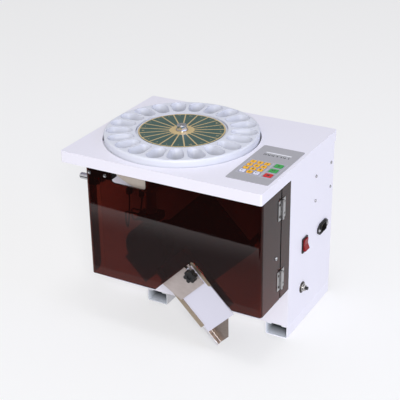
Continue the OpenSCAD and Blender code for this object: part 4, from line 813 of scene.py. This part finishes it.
def buildFloor():
    bm = bmesh.new()
    side, back, front = floorPaper["side"], floorPaper["back"], floorPaper["frontEdge"]
    slant = floorPaper["frontSlant"] * side
    corners = ((-side, front - slant), (side, front + slant), (side, back), (-side, back))
    bm.faces.new([bm.verts.new((x, y, 0)) for x, y in corners])
    mesh = bpy.data.meshes.new("floor")
    bm.to_mesh(mesh)
    bm.free()
    floor = bpy.data.objects.new("floor", mesh)
    scene.collection.objects.link(floor)
    material = bpy.data.materials.new("floorPaper")
    material.use_nodes = True
    tree = material.node_tree
    sockets = tree.nodes["Principled BSDF"].inputs
    sockets["Base Color"].default_value = floorPaper["colour"]
    sockets["Roughness"].default_value = floorPaper["rough"]
    sockets["Specular IOR Level"].default_value = 0.0
    sockets["Emission Color"].default_value = (1, 1, 1, 1)
    # in a mirror image the floor is bright only along its front edge and beside the machine
    depth = axesOf(tree, tree.nodes.new("ShaderNodeTexCoord").outputs["Object"])["Y"]
    near = rangeOf(tree, depth, floorPaper["glowFrom"], front)
    edge = mathOf(tree, "MULTIPLY", mathOf(tree, "MULTIPLY", near, near), floorPaper["edgeGlow"])
    behind = mathOf(tree, "GREATER_THAN", depth, floorPaper["behindFrom"])
    mirror = mathOf(tree, "MULTIPLY_ADD", behind, floorPaper["behindGlow"], edge)
    mirrored = tree.nodes.new("ShaderNodeLightPath").outputs["Is Glossy Ray"]
    glow = blendOf(tree, mirrored, floorPaper["lift"], mirror, "FLOAT")
    tree.links.new(glow, sockets["Emission Strength"])
    mesh.materials.append(material)


room = {"soft": (1.0, 0.995, 1.03, 1), "frontLight": 0.73, "backLight": 0.30, "pale": tone(242, 242, 242),
        "dark": (0.07, 0.07, 0.072, 1)}


def buildRoom():
    world = bpy.data.worlds.new("softWorld")
    scene.world = world
    world.use_nodes = True
    tree = world.node_tree
    tree.nodes.clear()

    def shineOf(colour, strength=1.0):
        shine = tree.nodes.new("ShaderNodeBackground")
        feed(tree, colour, shine.inputs["Color"])
        feed(tree, strength, shine.inputs["Strength"])
        return shine.outputs["Background"]

    def chooseOf(factor, first, second):
        choose = tree.nodes.new("ShaderNodeMixShader")
        for value, socket in zip((factor, first, second), choose.inputs):
            tree.links.new(value, socket)
        return choose.outputs["Shader"]

    path = tree.nodes.new("ShaderNodeLightPath").outputs
    axes = axesOf(tree, tree.nodes.new("ShaderNodeTexCoord").outputs["Generated"])
    # more light from the front than from behind
    soft = shineOf(room["soft"], rangeOf(tree, axes["Y"], -1.0, 1.0, room["frontLight"], room["backLight"]))
    # beyond the floor's front edge a glossy sheet sees a dark room
    mirroredBelow = mathOf(tree, "MULTIPLY", mathOf(tree, "LESS_THAN", axes["Z"], 0.0), path["Is Glossy Ray"])
    lit = chooseOf(mirroredBelow, soft, shineOf(room["dark"]))
    seen = chooseOf(path["Is Camera Ray"], lit, shineOf(room["pale"]))
    tree.links.new(seen, tree.nodes.new("ShaderNodeOutputWorld").inputs["Surface"])


# place, aim, size, power, colour
lamps = {
    "frontSoft": ((2.4, -3.5, 2.5), (0, 0, 0.2), (1.0, 0.8), 109, (1, 1, 1)),
    "sideCool": ((3.7, -0.3, 2.2), (0.1, 0, 0.3), (1.6, 1.2), 23, (0.42, 0.54, 1.0)),
    "topSoft": ((0.4, -0.5, 4.0), (0, 0, 0.3), (1.2, 1.2), 27, (1, 1, 1)),
}


def buildLamps():
    for name, (spot, aim, size, power, colour) in lamps.items():
        data = bpy.data.lights.new(name, "AREA")
        data.shape = "RECTANGLE"
        data.size, data.size_y = size
        data.energy = power
        data.color = colour
        lamp = bpy.data.objects.new(name, data)
        scene.collection.objects.link(lamp)
        lamp.location = spot
        lamp.rotation_euler = (Vector(aim) - Vector(spot)).to_track_quat("-Z", "Y").to_euler()


view = {"lens": 93.5, "sensor": 36.0, "far": 50.0, "spot": (0.9151, -1.6406, 1.1517),
        "forward": (-0.4425, 0.7835, -0.4363), "roll": -0.01636}


def buildCamera():
    data = bpy.data.cameras.new("photoView")
    data.lens = view["lens"]
    data.sensor_width = view["sensor"]
    data.sensor_fit = "HORIZONTAL"
    data.clip_end = view["far"]
    camera = bpy.data.objects.new("photoView", data)
    scene.collection.objects.link(camera)
    forward = Vector(view["forward"]).normalized()
    right = forward.cross(Vector((0, 0, 1))).normalized()
    up = right.cross(forward)
    turn = view["roll"]
    rightRolled = right * math.cos(turn) + up * math.sin(turn)
    upRolled = up * math.cos(turn) - right * math.sin(turn)
    matrix = Matrix((rightRolled, upRolled, -forward)).transposed().to_4x4()
    matrix.translation = Vector(view["spot"])
    camera.matrix_world = matrix
    scene.camera = camera


buildFloor()
buildRoom()
buildLamps()
buildCamera()
print("stage, lights and camera done")
